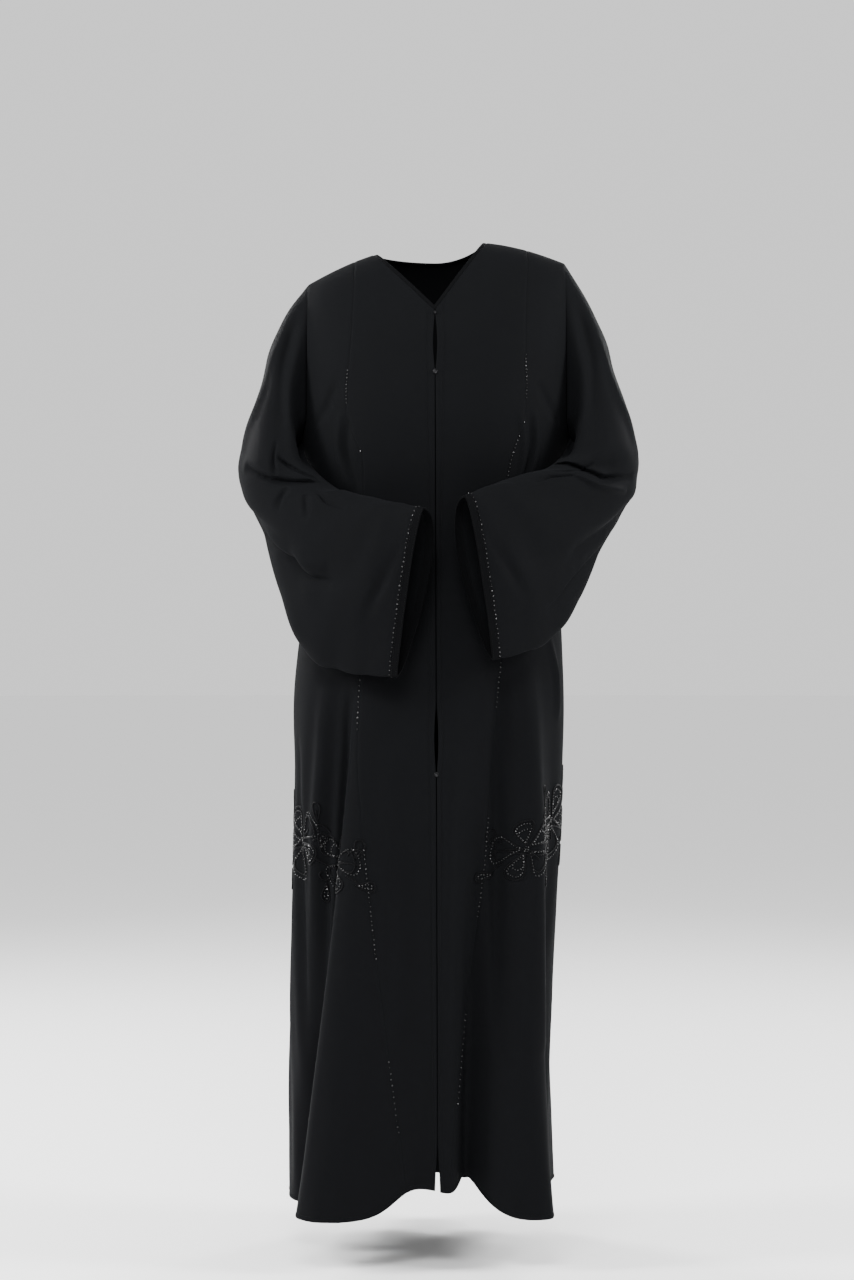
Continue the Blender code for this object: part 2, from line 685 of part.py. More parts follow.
def main():
    clear_scene()
    crepe = finish("black crepe", CREPE_COLOUR, 0.78)
    trim = finish("black trim", TRIM_COLOUR, 0.6)
    metal = finish("dark metal", METAL_COLOUR, 0.35, 1.0)
    grids = {(side, face): body_grid(side, face) for side in (RIGHT, LEFT) for face in (FRONT, BACK)}
    normals = body_normals(grids)
    sleeves = {}
    for side in (RIGHT, LEFT):
        grid = sleeve_grid(side, grids[side, FRONT], grids[side, BACK])
        facing = grid_normals(grid, ring=True) * side
        share_armhole_normals(side, normals, facing)
        sleeves[side] = (grid, facing)
    make_body(grids, normals, crepe)
    for side, (grid, facing) in sleeves.items():
        make_sleeve(side, grid, facing, crepe, trim)
    make_neck_binding(grids, normals, trim)
    for closure in CLOSURES:
        make_closure(closure, metal)


main()
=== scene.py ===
"""The cloth, sewing, beads and corded band of a worn front-opening cloak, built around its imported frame.

Every surface is worked out with numpy as a function of two parameters. The body's are the angle round
it, counted from the centre front, and the height. A sleeve's are the share of the way from the armhole
to the cuff, and the angle round the arm. Tables are in millimetres and degrees, and functions return
metres and radians.
"""

import math
from typing import NamedTuple

import bpy
import numpy as np
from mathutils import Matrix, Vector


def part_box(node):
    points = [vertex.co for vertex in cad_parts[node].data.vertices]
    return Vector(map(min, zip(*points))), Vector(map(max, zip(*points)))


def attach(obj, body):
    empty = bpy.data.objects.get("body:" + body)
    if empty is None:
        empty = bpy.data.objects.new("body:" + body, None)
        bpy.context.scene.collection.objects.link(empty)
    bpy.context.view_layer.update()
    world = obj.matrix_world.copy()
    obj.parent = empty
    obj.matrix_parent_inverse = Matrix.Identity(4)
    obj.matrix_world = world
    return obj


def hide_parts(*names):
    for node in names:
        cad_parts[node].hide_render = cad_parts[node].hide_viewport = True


bl_info = {
    "name": "Worn Cloak",
    "version": (1, 0, 0),
    "blender": (4, 5, 0),
    "location": "3D View > Sidebar > Cloak",
    "description": "Builds the crepe, trim, beads and corded band of a worn front-opening cloak",
    "category": "Object",
}

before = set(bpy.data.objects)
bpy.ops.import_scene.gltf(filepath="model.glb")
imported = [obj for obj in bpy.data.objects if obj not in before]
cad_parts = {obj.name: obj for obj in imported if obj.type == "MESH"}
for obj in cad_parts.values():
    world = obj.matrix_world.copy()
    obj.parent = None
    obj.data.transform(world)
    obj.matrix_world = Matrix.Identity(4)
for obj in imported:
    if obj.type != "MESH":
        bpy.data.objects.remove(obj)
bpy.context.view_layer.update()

MM = 0.001
RIGHT, LEFT = -1.0, 1.0
FRONT, BACK = -1.0, 1.0
WORDS = {RIGHT: "right", LEFT: "left"}

HEM_HEIGHT = -1340.0 * MM
ARMPIT_HEIGHT = -285.0 * MM
ARMHOLE_RISE = 50.0 * MM
ARMHOLE_REACH = {RIGHT: 180.0 * MM, LEFT: 185.0 * MM}
SHOULDER_TILT = 0.09
SHOULDER_TOP = 8.0 * MM
SHOULDER_DROP = 44.0 * MM
SHOULDER_START = 50.0 * MM
SHOULDER_RUN = 140.0 * MM
SHOULDER_CURVE = 1.6
SHOULDER_SEAM_Y = 5.0 * MM
SECTION_POWER = 2.3
YOKE_POWER = 2.4
NECK_HALF = {RIGHT: 88.0 * MM, LEFT: 75.0 * MM}
V_POINT_HEIGHT = -94.0 * MM
BACK_NECK_HEIGHT = -12.0 * MM
BACK_LINE_SHARE = 0.56
BACK_LINE_FADE = 150.0 * MM
EDGE_HALF_GAP = 0.6 * MM
EDGE_LEAN = 4.0 * MM
FOLD_GROWTH = 1.1
FOLD_LIMIT = 1.1
CREASE_FADE = 0.08
ARMHOLE_FADE = 0.3
CUFF_WIDTH = 11.0 * MM
CUFF_CROWN = 0.5 * MM
CUFF_RAISED = 0.15 * MM
FRONT_ROLL_SHARE = 0.7
SEAM_HALF_WIDTH = 1.3 * MM
ALLOWANCE_PLACE = 5.0 * MM
ALLOWANCE_HALF_WIDTH = 3.0 * MM
ROLL_WIDTH = 7.0 * MM
ROLL_EASE = 1.5 * MM
RIM_HALF_WIDTH = 0.9 * MM
STITCH_PLACE = 6.3 * MM
STITCH_HALF_WIDTH = 0.8 * MM
BINDING_WIDTH = 5.0 * MM
BINDING_HALF_HEIGHT = 1.1 * MM
BINDING_SIDES = 12
SLEEVE_SLACK = 0.5 * MM
TOP_EDGE_STEPS = 12

NECK_COLUMNS = 22
YOKE_COLUMNS = 12
SIDE_COLUMNS = 60
SKIRT_ROWS = 118
YOKE_ROWS = 72
SLEEVE_RINGS = 150
CUFF_ROWS = 9
CORD_SIDES = 8
BODY_METRIC = 170.0
SLEEVE_METRIC = 100.0
SLEEVE_TURN = 2.0 * math.pi * SLEEVE_METRIC
CLOSE_COLUMNS = (0.006, 0.014, 0.026, 0.045)
EDGE_STITCH_COLUMNS = (0.052, 0.058, 0.064, 0.070)
CLOSE_ROWS = (0.0, 0.0008, 0.0018, 0.003, 0.0045, 0.006, 0.0075, 0.0095, 0.013)
HEM_STITCH_ROW = 5
CUFF_STITCH_ROWS = (2, 7)


class BodySection(NamedTuple):
    height: float
    right: float
    left: float
    front: float
    back: float


BODY_SECTIONS = (
    BodySection(-1345, 204, 164, 184, 160),
    BodySection(-1230, 200, 162, 176, 157),
    BodySection(-1060, 197, 165, 165, 153),
    BodySection(-920, 197, 173, 156, 150),
    BodySection(-735, 198, 181, 146, 148),
    BodySection(-560, 193, 181, 133, 135),
    BodySection(-480, 181, 177, 124, 122),
    BodySection(-400, 175, 175, 121, 113),
    BodySection(-285, 188, 190, 127, 119),
    BodySection(-180, 191, 196, 126, 124),
    BodySection(0, 191, 197, 118, 120),
)


class SeamPlace(NamedTuple):
    height: float
    right: float
    left: float


PRINCESS_SEAM = (
    SeamPlace(-1345, 38, 20),
    SeamPlace(-1260, 46, 26),
    SeamPlace(-1185, 56, 35),
    SeamPlace(-1065, 69, 50),
    SeamPlace(-930, 83, 66),
    SeamPlace(-800, 95, 78),
    SeamPlace(-675, 103, 87),
    SeamPlace(-590, 101, 90),
    SeamPlace(-340, 99, 99),
    SeamPlace(-290, 103, 109),
    SeamPlace(-255, 118, 121),
    SeamPlace(-220, 122, 126),
    SeamPlace(-160, 118, 126),
    SeamPlace(-95, 114, 127),
    SeamPlace(-20, 113, 131),
)


class EdgeOpening(NamedTuple):
    name: str
    top: float
    bottom: float
    half_gap: float


EDGE_OPENINGS = (
    EdgeOpening("between the neck hook and the chest snap", -101, -178, 2.3),
    EdgeOpening("above the lower snap", -640, -733, 2.2),
    EdgeOpening("at the hem", -1240, -1440, 3.5),
)


class Fold(NamedTuple):
    name: str
    start_height: float
    start_angle: float
    hem_angle: float
    start_half_width: float
    hem_half_width: float
    reach: float


FOLDS = (
    Fold("front flare, right", -480, -22, -42, 12, 17, 48),
    Fold("side valley, right", -540, -33, -68, 8, 9, -48),
    Fold("side ridge, right", -520, -47, -112, 9, 14, 14),
    Fold("hollow behind the front edge, right", -800, -6, -7, 13, 12, -20),
    Fold("valley beside the front edge, left", -740, 12, 18, 6, 10, -60),
    Fold("front flare, left", -500, 38, 46, 13, 15, 44),
    Fold("side valley, left", -580, 60, 78, 8, 9, -24),
    Fold("back quarter ridge, left", -640, 108, 108, 12, 12, 13),
    Fold("back valley, right", -560, -125, -130, 9, 10, -26),
    Fold("back valley, left", -580, 124, 128, 9, 10, -24),
    Fold("back ridge, right", -520, -143, -150, 10, 11, 28),
    Fold("back ridge, left", -560, 142, 148, 10, 11, 26),
    Fold("inner back valley, right", -620, -160, -168, 9, 9, -26),
    Fold("inner back valley, left", -600, 158, 166, 9, 9, -22),
    Fold("centre back ridge", -500, 178, 183, 9, 10, 24),
)


class Ripple(NamedTuple):
    waves: float
    slant: float
    phase: float
    top: float
    reach: float


RIPPLES = (
    Ripple(13, 0.8, 0.4, -420, 0.9),
    Ripple(19, -1.1, 2.1, -520, 1.1),
    Ripple(29, 1.6, 4.0, -700, 0.7),
    Ripple(41, -2.0, 1.3, -900, 0.4),
)


class HemRise(NamedTuple):
    name: str
    angle: float
    half_width: float
    rise: float


HEM_RISES = (
    HemRise("front edges", -4, 12, 40),
    HemRise("valley beside the front edge", 17, 10, 50),
    HemRise("left side", 100, 16, 18),
)


class Crease(NamedTuple):
    name: str
    path: tuple
    half_width: float
    reach: float


BODY_CREASES = (
    Crease("waist fold, right", ((-44, -236), (-42, -300), (-36, -350)), 8, 4.6),
    Crease("waist valley, right", ((-38, -246), (-37, -300), (-32, -345)), 7, -4.2),
    Crease("outer waist fold, left", ((47, -232), (45, -290), (40, -350)), 7, 4.2),
    Crease("inner waist fold, left", ((37, -236), (38, -300), (35, -352)), 6, 3.6),
    Crease("waist valley, left", ((42, -238), (41.5, -295), (38, -350)), 6, -4.2),
    Crease("drag from the bust, right", ((-46, -196), (-56, -232), (-66, -250)), 10, -4.0),
    Crease("drag from the bust, left", ((48, -196), (58, -226), (68, -246)), 10, -3.6),
    Crease("skirt line, right", ((-72, -690), (-68, -805), (-68, -960), (-70, -1130)), 12, -5.0),
    Crease("soft ridge, right", ((-45, -610), (-48, -695), (-52, -800), (-56, -940), (-59, -1100)), 19, 11.0),
    Crease(
        "inner valley, right", ((-32, -620), (-37, -760), (-43, -949), (-49, -1114), (-54, -1250)), 9, -18.0
    ),
    Crease("soft ridge, left", ((42, -575), (44, -750), (46, -905), (49, -1120)), 22, 9.0),
    Crease("inner valley, left", ((25, -590), (27, -760), (30, -960), (34, -1150)), 15, -10.0),
    Crease("short highlight, left", ((60, -550), (67, -595), (70, -660)), 10, 5.0),
    Crease("front drape, right", ((-14, -690), (-15, -900), (-18, -1120)), 14, 3.0),
    Crease("broad valley, left", ((20, -600), (22, -800), (25, -1000), (30, -1290)), 42, -19.0),
    Crease("lift beside the front edge, left", ((6, -700), (6, -950), (7, -1180)), 14, 4.0),
    Crease("drag below the armhole, back right", ((-118, -240), (-132, -310), (-146, -390)), 12, -3.0),
    Crease("drag below the armhole, back left", ((118, -240), (130, -300), (144, -375)), 12, -3.0),
    Crease("side drag, back right", ((-102, -300), (-110, -390), (-116, -490)), 11, -2.6),
    Crease("side drag, back left", ((102, -300), (112, -380), (118, -470)), 11, -2.6),
    Crease("slack at the small of the back", ((-158, -455), (-172, -478), (-178, -470)), 14, -2.6),
    Crease("slack beside it", ((176, -420), (166, -440), (150, -430)), 14, -2.4),
    Crease("fold below the waist, back", ((138, -500), (146, -580), (150, -680)), 12, 2.4),
    Crease("fold between the shoulders, right", ((-140, -100), (-150, -170), (-156, -250)), 14, -1.8),
    Crease("fold between the shoulders, left", ((142, -105), (150, -180), (158, -240)), 14, -1.8),
)

SLEEVE_CREASES = {
    RIGHT: (
        Crease("hollow outside the armhole", ((0.06, 70), (0.30, 138)), 38, -12),
        Crease("recess below the elbow", ((0.47, 20), (0.60, 62)), 28, -14),
        Crease("long valley of the forearm", ((0.80, 128), (0.66, 60)), 38, -9),
        Crease("inner elbow crease", ((0.36, 120), (0.40, 165)), 28, -8),
    ),
    LEFT: (
        Crease("hollow outside the armhole", ((0.06, 70), (0.30, 138)), 38, -12),
        Crease("recess below the elbow", ((0.50, 20), (0.66, 52)), 28, -14),
        Crease("long valley of the forearm", ((0.84, 128), (0.72, 62)), 38, -7),
        Crease("inner elbow crease", ((0.38, 100), (0.40, 165)), 28, -10),
    ),
}

SLEEVE_BACK_CREASES = (
    Crease("back of the elbow", ((0.36, 300), (0.44, 262), (0.46, 228)), 12, -6.3),
    Crease("back of the forearm", ((0.52, 330), (0.62, 290), (0.70, 248)), 14, -5.6),
    Crease("back of the upper arm", ((0.10, 292), (0.24, 268), (0.34, 230)), 18, -5.6),
)
FINE_SLEEVE_CREASES = {
    RIGHT: (
        Crease("crease below the elbow", ((0.50, 12), (0.55, 38), (0.63, 66), (0.73, 88)), 9, -10.5),
        Crease("ridge above it", ((0.47, 18), (0.52, 46), (0.60, 76), (0.70, 96)), 12, 6.8),
        Crease("soft valley of the forearm", ((0.95, 124), (0.91, 98), (0.86, 66)), 14, -4.2),
        Crease("elbow crease", ((0.34, 62), (0.372, 104), (0.378, 139), (0.37, 172)), 9, -11.2),
        Crease("upper elbow crease", ((0.29, 116), (0.324, 150), (0.36, 172)), 8, -9.0),
        Crease("upright line at the elbow", ((0.25, 112), (0.355, 109)), 8, -5.0),
        Crease("first pucker", ((0.40, 116), (0.49, 84)), 6, -5.0),
        Crease("second pucker", ((0.46, 128), (0.57, 112)), 7, -4.5),
        Crease("third pucker", ((0.43, 142), (0.56, 140), (0.67, 146)), 7, -4.5),
        Crease("top of the forearm", ((0.76, 156), (0.92, 172)), 14, 3.6),
        Crease("upper arm drape", ((0.12, 40), (0.24, 48), (0.36, 40)), 18, 4.4),
        Crease("outer drape", ((0.16, 10), (0.30, 14), (0.42, 2)), 14, -2.8),
        *SLEEVE_BACK_CREASES,
    ),
    LEFT: (
        Crease("elbow crease", ((0.40, 56), (0.43, 100), (0.405, 134), (0.362, 164), (0.37, 190)), 9, -12.3),
        Crease("ridge below it", ((0.45, 62), (0.475, 100), (0.45, 138)), 11, 6.3),
        Crease("small crease", ((0.44, 128), (0.54, 147), (0.64, 150)), 7, -5.3),
        Crease("second small crease", ((0.36, 122), (0.42, 140), (0.47, 164)), 7, -5.8),
        Crease("lower crease", ((0.59, 12), (0.66, 32), (0.73, 44), (0.81, 48)), 9, -9.8),
        Crease("ridge above the lower crease", ((0.56, 18), (0.63, 44), (0.71, 58)), 12, 6.3),
        Crease("soft valley of the forearm", ((0.95, 120), (0.90, 92), (0.86, 62)), 14, -3.6),
        Crease("top of the forearm", ((0.72, 156), (0.90, 172)), 14, 3.4),
        Crease("upper arm drape", ((0.12, 42), (0.24, 50), (0.35, 42)), 18, 4.4),
        Crease("outer drape", ((0.16, 12), (0.30, 14), (0.42, 4)), 14, -2.8),
        *SLEEVE_BACK_CREASES,
    ),
}


class SleeveSection(NamedTuple):
    name: str
    outer: tuple
    inner: tuple
    front: float
    rear: float
    turn: float
    taper: float


SLEEVE_SECTIONS = {
    RIGHT: (
        SleeveSection("armhole", (-180, 5, -45), (-188, 0, -285), 78, 78, 0, 0.0),
        SleeveSection("shoulder", (-222, 3, -109), (-197, -28, -290), 76, 70, 0, 0.0),
        SleeveSection("upper arm", (-245, 4, -186), (-188, -68, -298), 60, 60, 6, 0.0),
        SleeveSection("above the elbow", (-264, 8, -272), (-170, -104, -315), 52, 32, 28, 0.0),
        SleeveSection("elbow", (-266, 0, -341), (-139, -125, -340), 46, 20, 40, 0.0),
        SleeveSection("below the elbow", (-240, -30, -404), (-124, -135, -345), 42, 20, 42, 0.1),
        SleeveSection("corner", (-212, -66, -487), (-109, -144, -350), 38, 20, 42, 0.2),
        SleeveSection("forearm", (-179, -106, -565), (-88, -156, -355), 34, 22, 40, 0.3),
        SleeveSection("mid forearm", (-132, -142, -591), (-66, -171, -361), 28, 26, 36, 0.4),
        SleeveSection("lower forearm", (-90, -166, -599), (-40, -184, -367), 20, 32, 34, 0.4),
        SleeveSection("cuff", (-51, -185, -601), (-15, -200, -373), 9, 38, 33, 0.4),
    ),
    LEFT: (
        SleeveSection("armhole", (185, 5, -17), (190, 0, -285), 78, 78, 0, 0.0),
        SleeveSection("shoulder", (231, 3, -98), (199, -28, -288), 76, 70, 0, 0.0),
        SleeveSection("upper arm", (254, 4, -168), (191, -68, -292), 60, 60, 6, 0.0),
        SleeveSection("above the elbow", (275, 8, -254), (176, -104, -300), 52, 32, 28, 0.0),
        SleeveSection("elbow", (279, 0, -324), (157, -125, -313), 46, 20, 40, 0.0),
        SleeveSection("below the elbow", (262, -26, -377), (139, -136, -319), 42, 20, 42, 0.1),
        SleeveSection("corner", (228, -56, -430), (120, -146, -324), 38, 20, 42, 0.2),
        SleeveSection("forearm", (199, -92, -495), (100, -156, -331), 34, 22, 40, 0.3),
        SleeveSection("mid forearm", (163, -127, -545), (81, -169, -338), 28, 26, 36, 0.4),
        SleeveSection("lower forearm", (123, -157, -567), (60, -183, -347), 20, 32, 34, 0.4),
        SleeveSection("cuff", (78, -180, -578), (40, -198, -357), 9, 38, 33, 0.4),
    ),
}


class BeadRun(NamedTuple):
    side: float
    top: float
    bottom: float
    spacing: float


BEAD_RUNS = (
    BeadRun(RIGHT, -178, -224, 5.0),
    BeadRun(RIGHT, -290, -292, 2.6),
    BeadRun(RIGHT, -606, -678, 7.5),
    BeadRun(RIGHT, -838, -988, 6.4),
    BeadRun(RIGHT, -1126, -1222, 8.0),
    BeadRun(LEFT, -156, -218, 5.0),
    BeadRun(LEFT, -250, -252, 2.6),
    BeadRun(LEFT, -270, -328, 5.4),
    BeadRun(LEFT, -582, -644, 6.8),
    BeadRun(LEFT, -796, -932, 6.4),
    BeadRun(LEFT, -1066, -1192, 8.0),
)


STITCH_RINGS = ((-0.40, 0.275, -0.1), (-0.15, 0.5, 0.25), (0.15, 0.5, 0.25), (0.40, 0.275, -0.1))
SNAP_PROFILE = (
    (0.35, -0.9), (0.92, -0.9), (1.0, -0.6), (1.0, 0.1), (0.94, 0.4), (0.80, 0.55),
    (0.66, 0.45), (0.55, 0.25), (0.42, 0.25), (0.34, 0.6), (0.22, 0.85), (0.08, 0.9),
)


class Flower(NamedTuple):
    along: float
    up: float
    petal: float
    width: float
    petals: int
    turn: float


class Leaf(NamedTuple):
    along: float
    up: float
    length: float
    width: float
    turn: float
    beaded: bool


class Tendril(NamedTuple):
    along: float
    up: float
    heading: float
    length: float
    curl: float


FLOWERS = (
    Flower(60, -2, 46, 15.5, 5, 98),
    Flower(150, 12, 47, 16.0, 5, 64),
    Flower(238, 2, 44, 15.0, 5, 118),
)
LEAVES = (
    Leaf(12, -26, 26, 7.0, 178, True),
    Leaf(13, 10, 27, 7.5, 108, False),
    Leaf(106, 44, 28, 7.5, 86, False),
    Leaf(102, -38, 27, 7.5, -84, True),
    Leaf(105, 6, 25, 7.0, 104, True),
    Leaf(193, 48, 27, 7.5, 70, True),
    Leaf(194, -36, 28, 7.5, -96, False),
    Leaf(280, 26, 26, 7.0, 34, True),
    Leaf(282, -22, 25, 7.0, -28, False),
)
TENDRILS = (
    Tendril(27, -14, 200, 30, 6),
    Tendril(25, 12, 128, 36, 22),
    Tendril(90, -26, -46, 34, 24),
    Tendril(90, 32, 58, 32, -26),
    Tendril(116, 18, 150, 26, 26),
    Tendril(182, -20, -52, 36, 24),
    Tendril(184, 34, 46, 32, -24),
    Tendril(268, 0, 4, 36, 20),
)
BAND_START = {RIGHT: -862.0, LEFT: -850.0}
BAND_RISE = {RIGHT: 0.13, LEFT: 0.24}
BAND_MIDDLE = 110.0
BAND_SEARCH_BACK = 0.35
BAND_SEARCH_ON = 2.6
BAND_SEARCH_STEPS = 1600
STEM_START = 2.0
STEM_END = 290.0
STEM_STEPS = 140
PETAL_FOOT = 4.5
BEAD_INSET = 3.0

FLOOR_RADII = (0.0, 0.5, 1.0, 2.0, 4.0, 8.0, 16.0, 40.0)
FLOOR_SIDES = 96
CAMERA_PLACE = (-0.0107, -4.0, -0.551)
FOCAL_LENGTH = 2817.0 / 1280.0
SENSOR_HEIGHT = 36.0
SURROUND_RAMPS = (("Y", -0.8, 0.8, 0.86, 1.06), ("Z", 0.15, 0.85, 0.0, 0.20))


class StudioLight(NamedTuple):
    name: str
    place: tuple
    target: tuple
    size: tuple
    power: float


MIDDLE = (0.0, 0.0, -0.40)
TALL = (0.8, 1.4)
LIGHTS = (
    StudioLight("top front", (-0.3, -2.1, 1.3), (0.0, 0.0, -0.25), (1.2, 0.8), 75.0),
    StudioLight("key", (-2.8, -0.7, 0.9), MIDDLE, TALL, 165.0),
    StudioLight("fill", (2.8, -0.7, 0.9), MIDDLE, TALL, 150.0),
    StudioLight("back right", (-2.3, 2.2, 0.9), MIDDLE, TALL, 150.0),
    StudioLight("back left", (2.0, 2.6, 1.2), MIDDLE, TALL, 90.0),
)


def smooth_step(share):
    """Rises from 0 to 1 with level ends: 3 times the square less 2 times the cube."""
    share = np.clip(share, 0.0, 1.0)
    return share * share * (3.0 - 2.0 * share)


def smooth_through(at, places, values):
    """Cubic curve through the values, with the slope at each place taken from its neighbours."""
    at = np.clip(at, places[0], places[-1])
    slopes = np.gradient(values, places, axis=0)
    step = np.clip(np.searchsorted(places, at, side="right") - 1, 0, len(places) - 2)
    run = places[step + 1] - places[step]
    share = (at - places[step]) / run
    from_start = values[step] + slopes[step] * run * share
    from_end = values[step + 1] - slopes[step + 1] * run * (1.0 - share)
    return from_start + (from_end - from_start) * smooth_step(share)


def column(table, name, scale=MM):
    """One column of a table, as an array."""
    return np.array([getattr(row, name) for row in table], dtype=float) * scale


def signed_power(value, power):
    """The value's size to a power, with its sign kept."""
    return np.sign(value) * np.abs(value) ** power


def unit(vectors):
    """Vectors over their lengths."""
    return vectors / np.maximum(np.linalg.norm(vectors, axis=-1, keepdims=True), 1e-12)


def run_lengths(points):
    """Distance of each point of a path from its start, along the path."""
    return np.concatenate([[0.0], np.cumsum(np.linalg.norm(np.diff(points, axis=0), axis=1))])


def half_width(side, height):
    """How far the body reaches to one side at a height."""
    return smooth_through(height, column(BODY_SECTIONS, "height"), column(BODY_SECTIONS, WORDS[side]))


def depth(face, height):
    """How far the body reaches forwards or backwards at a height."""
    name = "front" if face == FRONT else "back"
    return smooth_through(height, column(BODY_SECTIONS, "height"), column(BODY_SECTIONS, name))


def side_reach(side, height):
    """Place of the side seam, which runs in to the armhole's edge above the armpit by a smooth step."""
    full = half_width(side, height)
    return full + (ARMHOLE_REACH[side] - full) * smooth_step((height - ARMPIT_HEIGHT) / ARMHOLE_RISE)


def shoulder_height(across):
    """Shoulder line: a level with a tilt, falling by a power of the distance past the neck."""
    beyond = np.maximum(np.abs(across) - SHOULDER_START, 0.0) / SHOULDER_RUN
    return SHOULDER_TOP + SHOULDER_TILT * across - SHOULDER_DROP * beyond**SHOULDER_CURVE


def seam_angle(side, across, height):
    """The column angle at which the cloth lies that far from the centre."""
    share = np.clip(across * side / side_reach(side, height), -1.0, 1.0)
    return np.arcsin(signed_power(share, SECTION_POWER / 2.0))


def princess_place(side, face, height):
    """Distance of the princess seam from the centre; at the back the same column fans out further."""
    front_line = smooth_through(height, column(PRINCESS_SEAM, "height"), column(PRINCESS_SEAM, WORDS[side]))
    if face == FRONT:
        return side * front_line
    share = smooth_step((PRINCESS_SEAM[-1].height * MM - height) / BACK_LINE_FADE)
    return side * (front_line + (BACK_LINE_SHARE * half_width(side, height) - front_line) * share)


def edge_place(side, height):
    """Front edge: a slight lean, and between the closures a gap that opens by half a sine wave."""
    gap = np.full_like(height, EDGE_HALF_GAP)
    for opening in EDGE_OPENINGS:
        share = (opening.top * MM - height) / ((opening.top - opening.bottom) * MM)
        gap = gap + opening.half_gap * MM * np.sin(np.pi * np.clip(share, 0.0, 1.0))
    return EDGE_LEAN * height / HEM_HEIGHT + side * gap


def fold_reach(around, height):
    """Main folds: bell curves across the angle, growing from their start down to the hem."""
    reach = np.zeros_like(around)
    for fold in FOLDS:
        down = (fold.start_height * MM - height) / (fold.start_height * MM - HEM_HEIGHT)
        down = np.clip(down, 0.0, FOLD_LIMIT)
        centre = fold.start_angle + (fold.hem_angle - fold.start_angle) * down
        half = fold.start_half_width + (fold.hem_half_width - fold.start_half_width) * down
        away = (np.degrees(around) - centre + 180.0) % 360.0 - 180.0
        reach = reach + fold.reach * MM * down**FOLD_GROWTH * np.exp(-((away / half) ** 2))
    return reach


def ripple_reach(around, height):
    """Small upright ripples: cosines of the angle, slanted by the height, growing towards the hem."""
    reach = np.zeros_like(around)
    for ripple in RIPPLES:
        down = smooth_step((ripple.top * MM - height) / (ripple.top * MM - HEM_HEIGHT))
        patch = 0.6 + 0.4 * np.cos(3.0 * around + ripple.phase)
        wave = np.cos(ripple.waves * around + ripple.slant * height / 0.1 + ripple.phase)
        reach = reach + ripple.reach * MM * down * patch * wave
    return reach


def line_distance(path, across, along):
    """Distance of each place from a drawn line, and the share of the line's length at its nearest point."""
    path = np.array(path, dtype=float)
    starts, steps = run_lengths(path), np.diff(path, axis=0)
    nearest, place = np.full_like(across, np.inf), np.zeros_like(across)
    for start, step, before, length in zip(path, steps, starts, np.diff(starts)):
        share = ((across - start[0]) * step[0] + (along - start[1]) * step[1]) / (length * length)
        share = np.clip(share, 0.0, 1.0)
        away = np.hypot(across - start[0] - share * step[0], along - start[1] - share * step[1])
        closer = away < nearest
        nearest = np.where(closer, away, nearest)
        place = np.where(closer, before + share * length, place)
    return nearest, place / starts[-1]


def crease_reach(creases, across, along):
    """Creases along drawn lines, both coordinates in millimetres.

    At a distance d from its line a crease has (1 - (d/h)^2 / 2) exp(-(d/h)^2) of its reach, with h its
    half width, and it fades to nothing at both ends by the root of half a sine wave.
    """
    reach = np.zeros_like(across)
    for crease in creases:
        nearest, place = line_distance(crease.path, across, along)
        fade = np.sqrt(np.clip(np.sin(np.pi * place), 0.0, 1.0))
        near = (nearest / crease.half_width) ** 2
        reach = reach + crease.reach * MM * fade * (1.0 - 0.5 * near) * np.exp(-near)
    return reach


def hollow_reach(creases, across, along):
    """The sleeve's main hollows: a bell curve of the distance from each one's line."""
    reach = np.zeros_like(across)
    for crease in creases:
        nearest, _ = line_distance(crease.path, across, along)
        reach = reach + crease.reach * MM * np.exp(-((nearest / crease.half_width) ** 2))
    return reach


def body_creases():
    """The body's creases, with both coordinates turned to millimetres along the cloth."""
    scaled = []
    for crease in BODY_CREASES:
        path = [(math.radians(angle) * BODY_METRIC, height) for angle, height in crease.path]
        scaled.append(crease._replace(path=path))
    return scaled


def sleeve_creases(creases):
    """A sleeve's creases, with both coordinates turned to millimetres along the cloth."""
    scaled = []
    for crease in creases:
        path = [(math.radians(angle) * SLEEVE_METRIC, share * SLEEVE_TURN) for share, angle in crease.path]
        scaled.append(crease._replace(path=path))
    return scaled


def body_point(side, face, angle, height):
    """A point of the body by its angle from the centre line to the side and its height.

    A level section is a superellipse. Above the armpits the cloth also curves in to the shoulder line,
    along a second superellipse that stands upright. The folds, ripples and creases push it outwards.
    """
    across = side * side_reach(side, height) * signed_power(np.sin(angle), 2.0 / SECTION_POWER)
    wide, deep = half_width(side, height), depth(face, height)
    share = np.clip(1.0 - (np.abs(across) / wide) ** SECTION_POWER, 0.0, 1.0)
    forward = deep * share ** (1.0 / SECTION_POWER)
    out_x = side * np.clip(np.abs(across) / wide, 0.0, 1.0) ** (SECTION_POWER - 1.0) / wide
    out_y = face * (forward / deep) ** (SECTION_POWER - 1.0) / deep
    length = np.hypot(out_x, out_y)
    around = side * angle if face == FRONT else side * (np.pi - angle)
    around = around + np.zeros_like(height)
    reach = fold_reach(around, height) + ripple_reach(around, height)
    reach = reach + crease_reach(body_creases(), around * BODY_METRIC, height / MM)
    up = (height - ARMPIT_HEIGHT) / (shoulder_height(across) - ARMPIT_HEIGHT)
    inward = (1.0 - np.clip(up, 0.0, 1.0) ** YOKE_POWER) ** (1.0 / YOKE_POWER)
    along = SHOULDER_SEAM_Y + (face * forward - SHOULDER_SEAM_Y) * inward
    along = np.where(up > 0.0, along, face * forward)
    return np.stack([across + reach * out_x / length, along + reach * out_y / length, height], axis=-1)


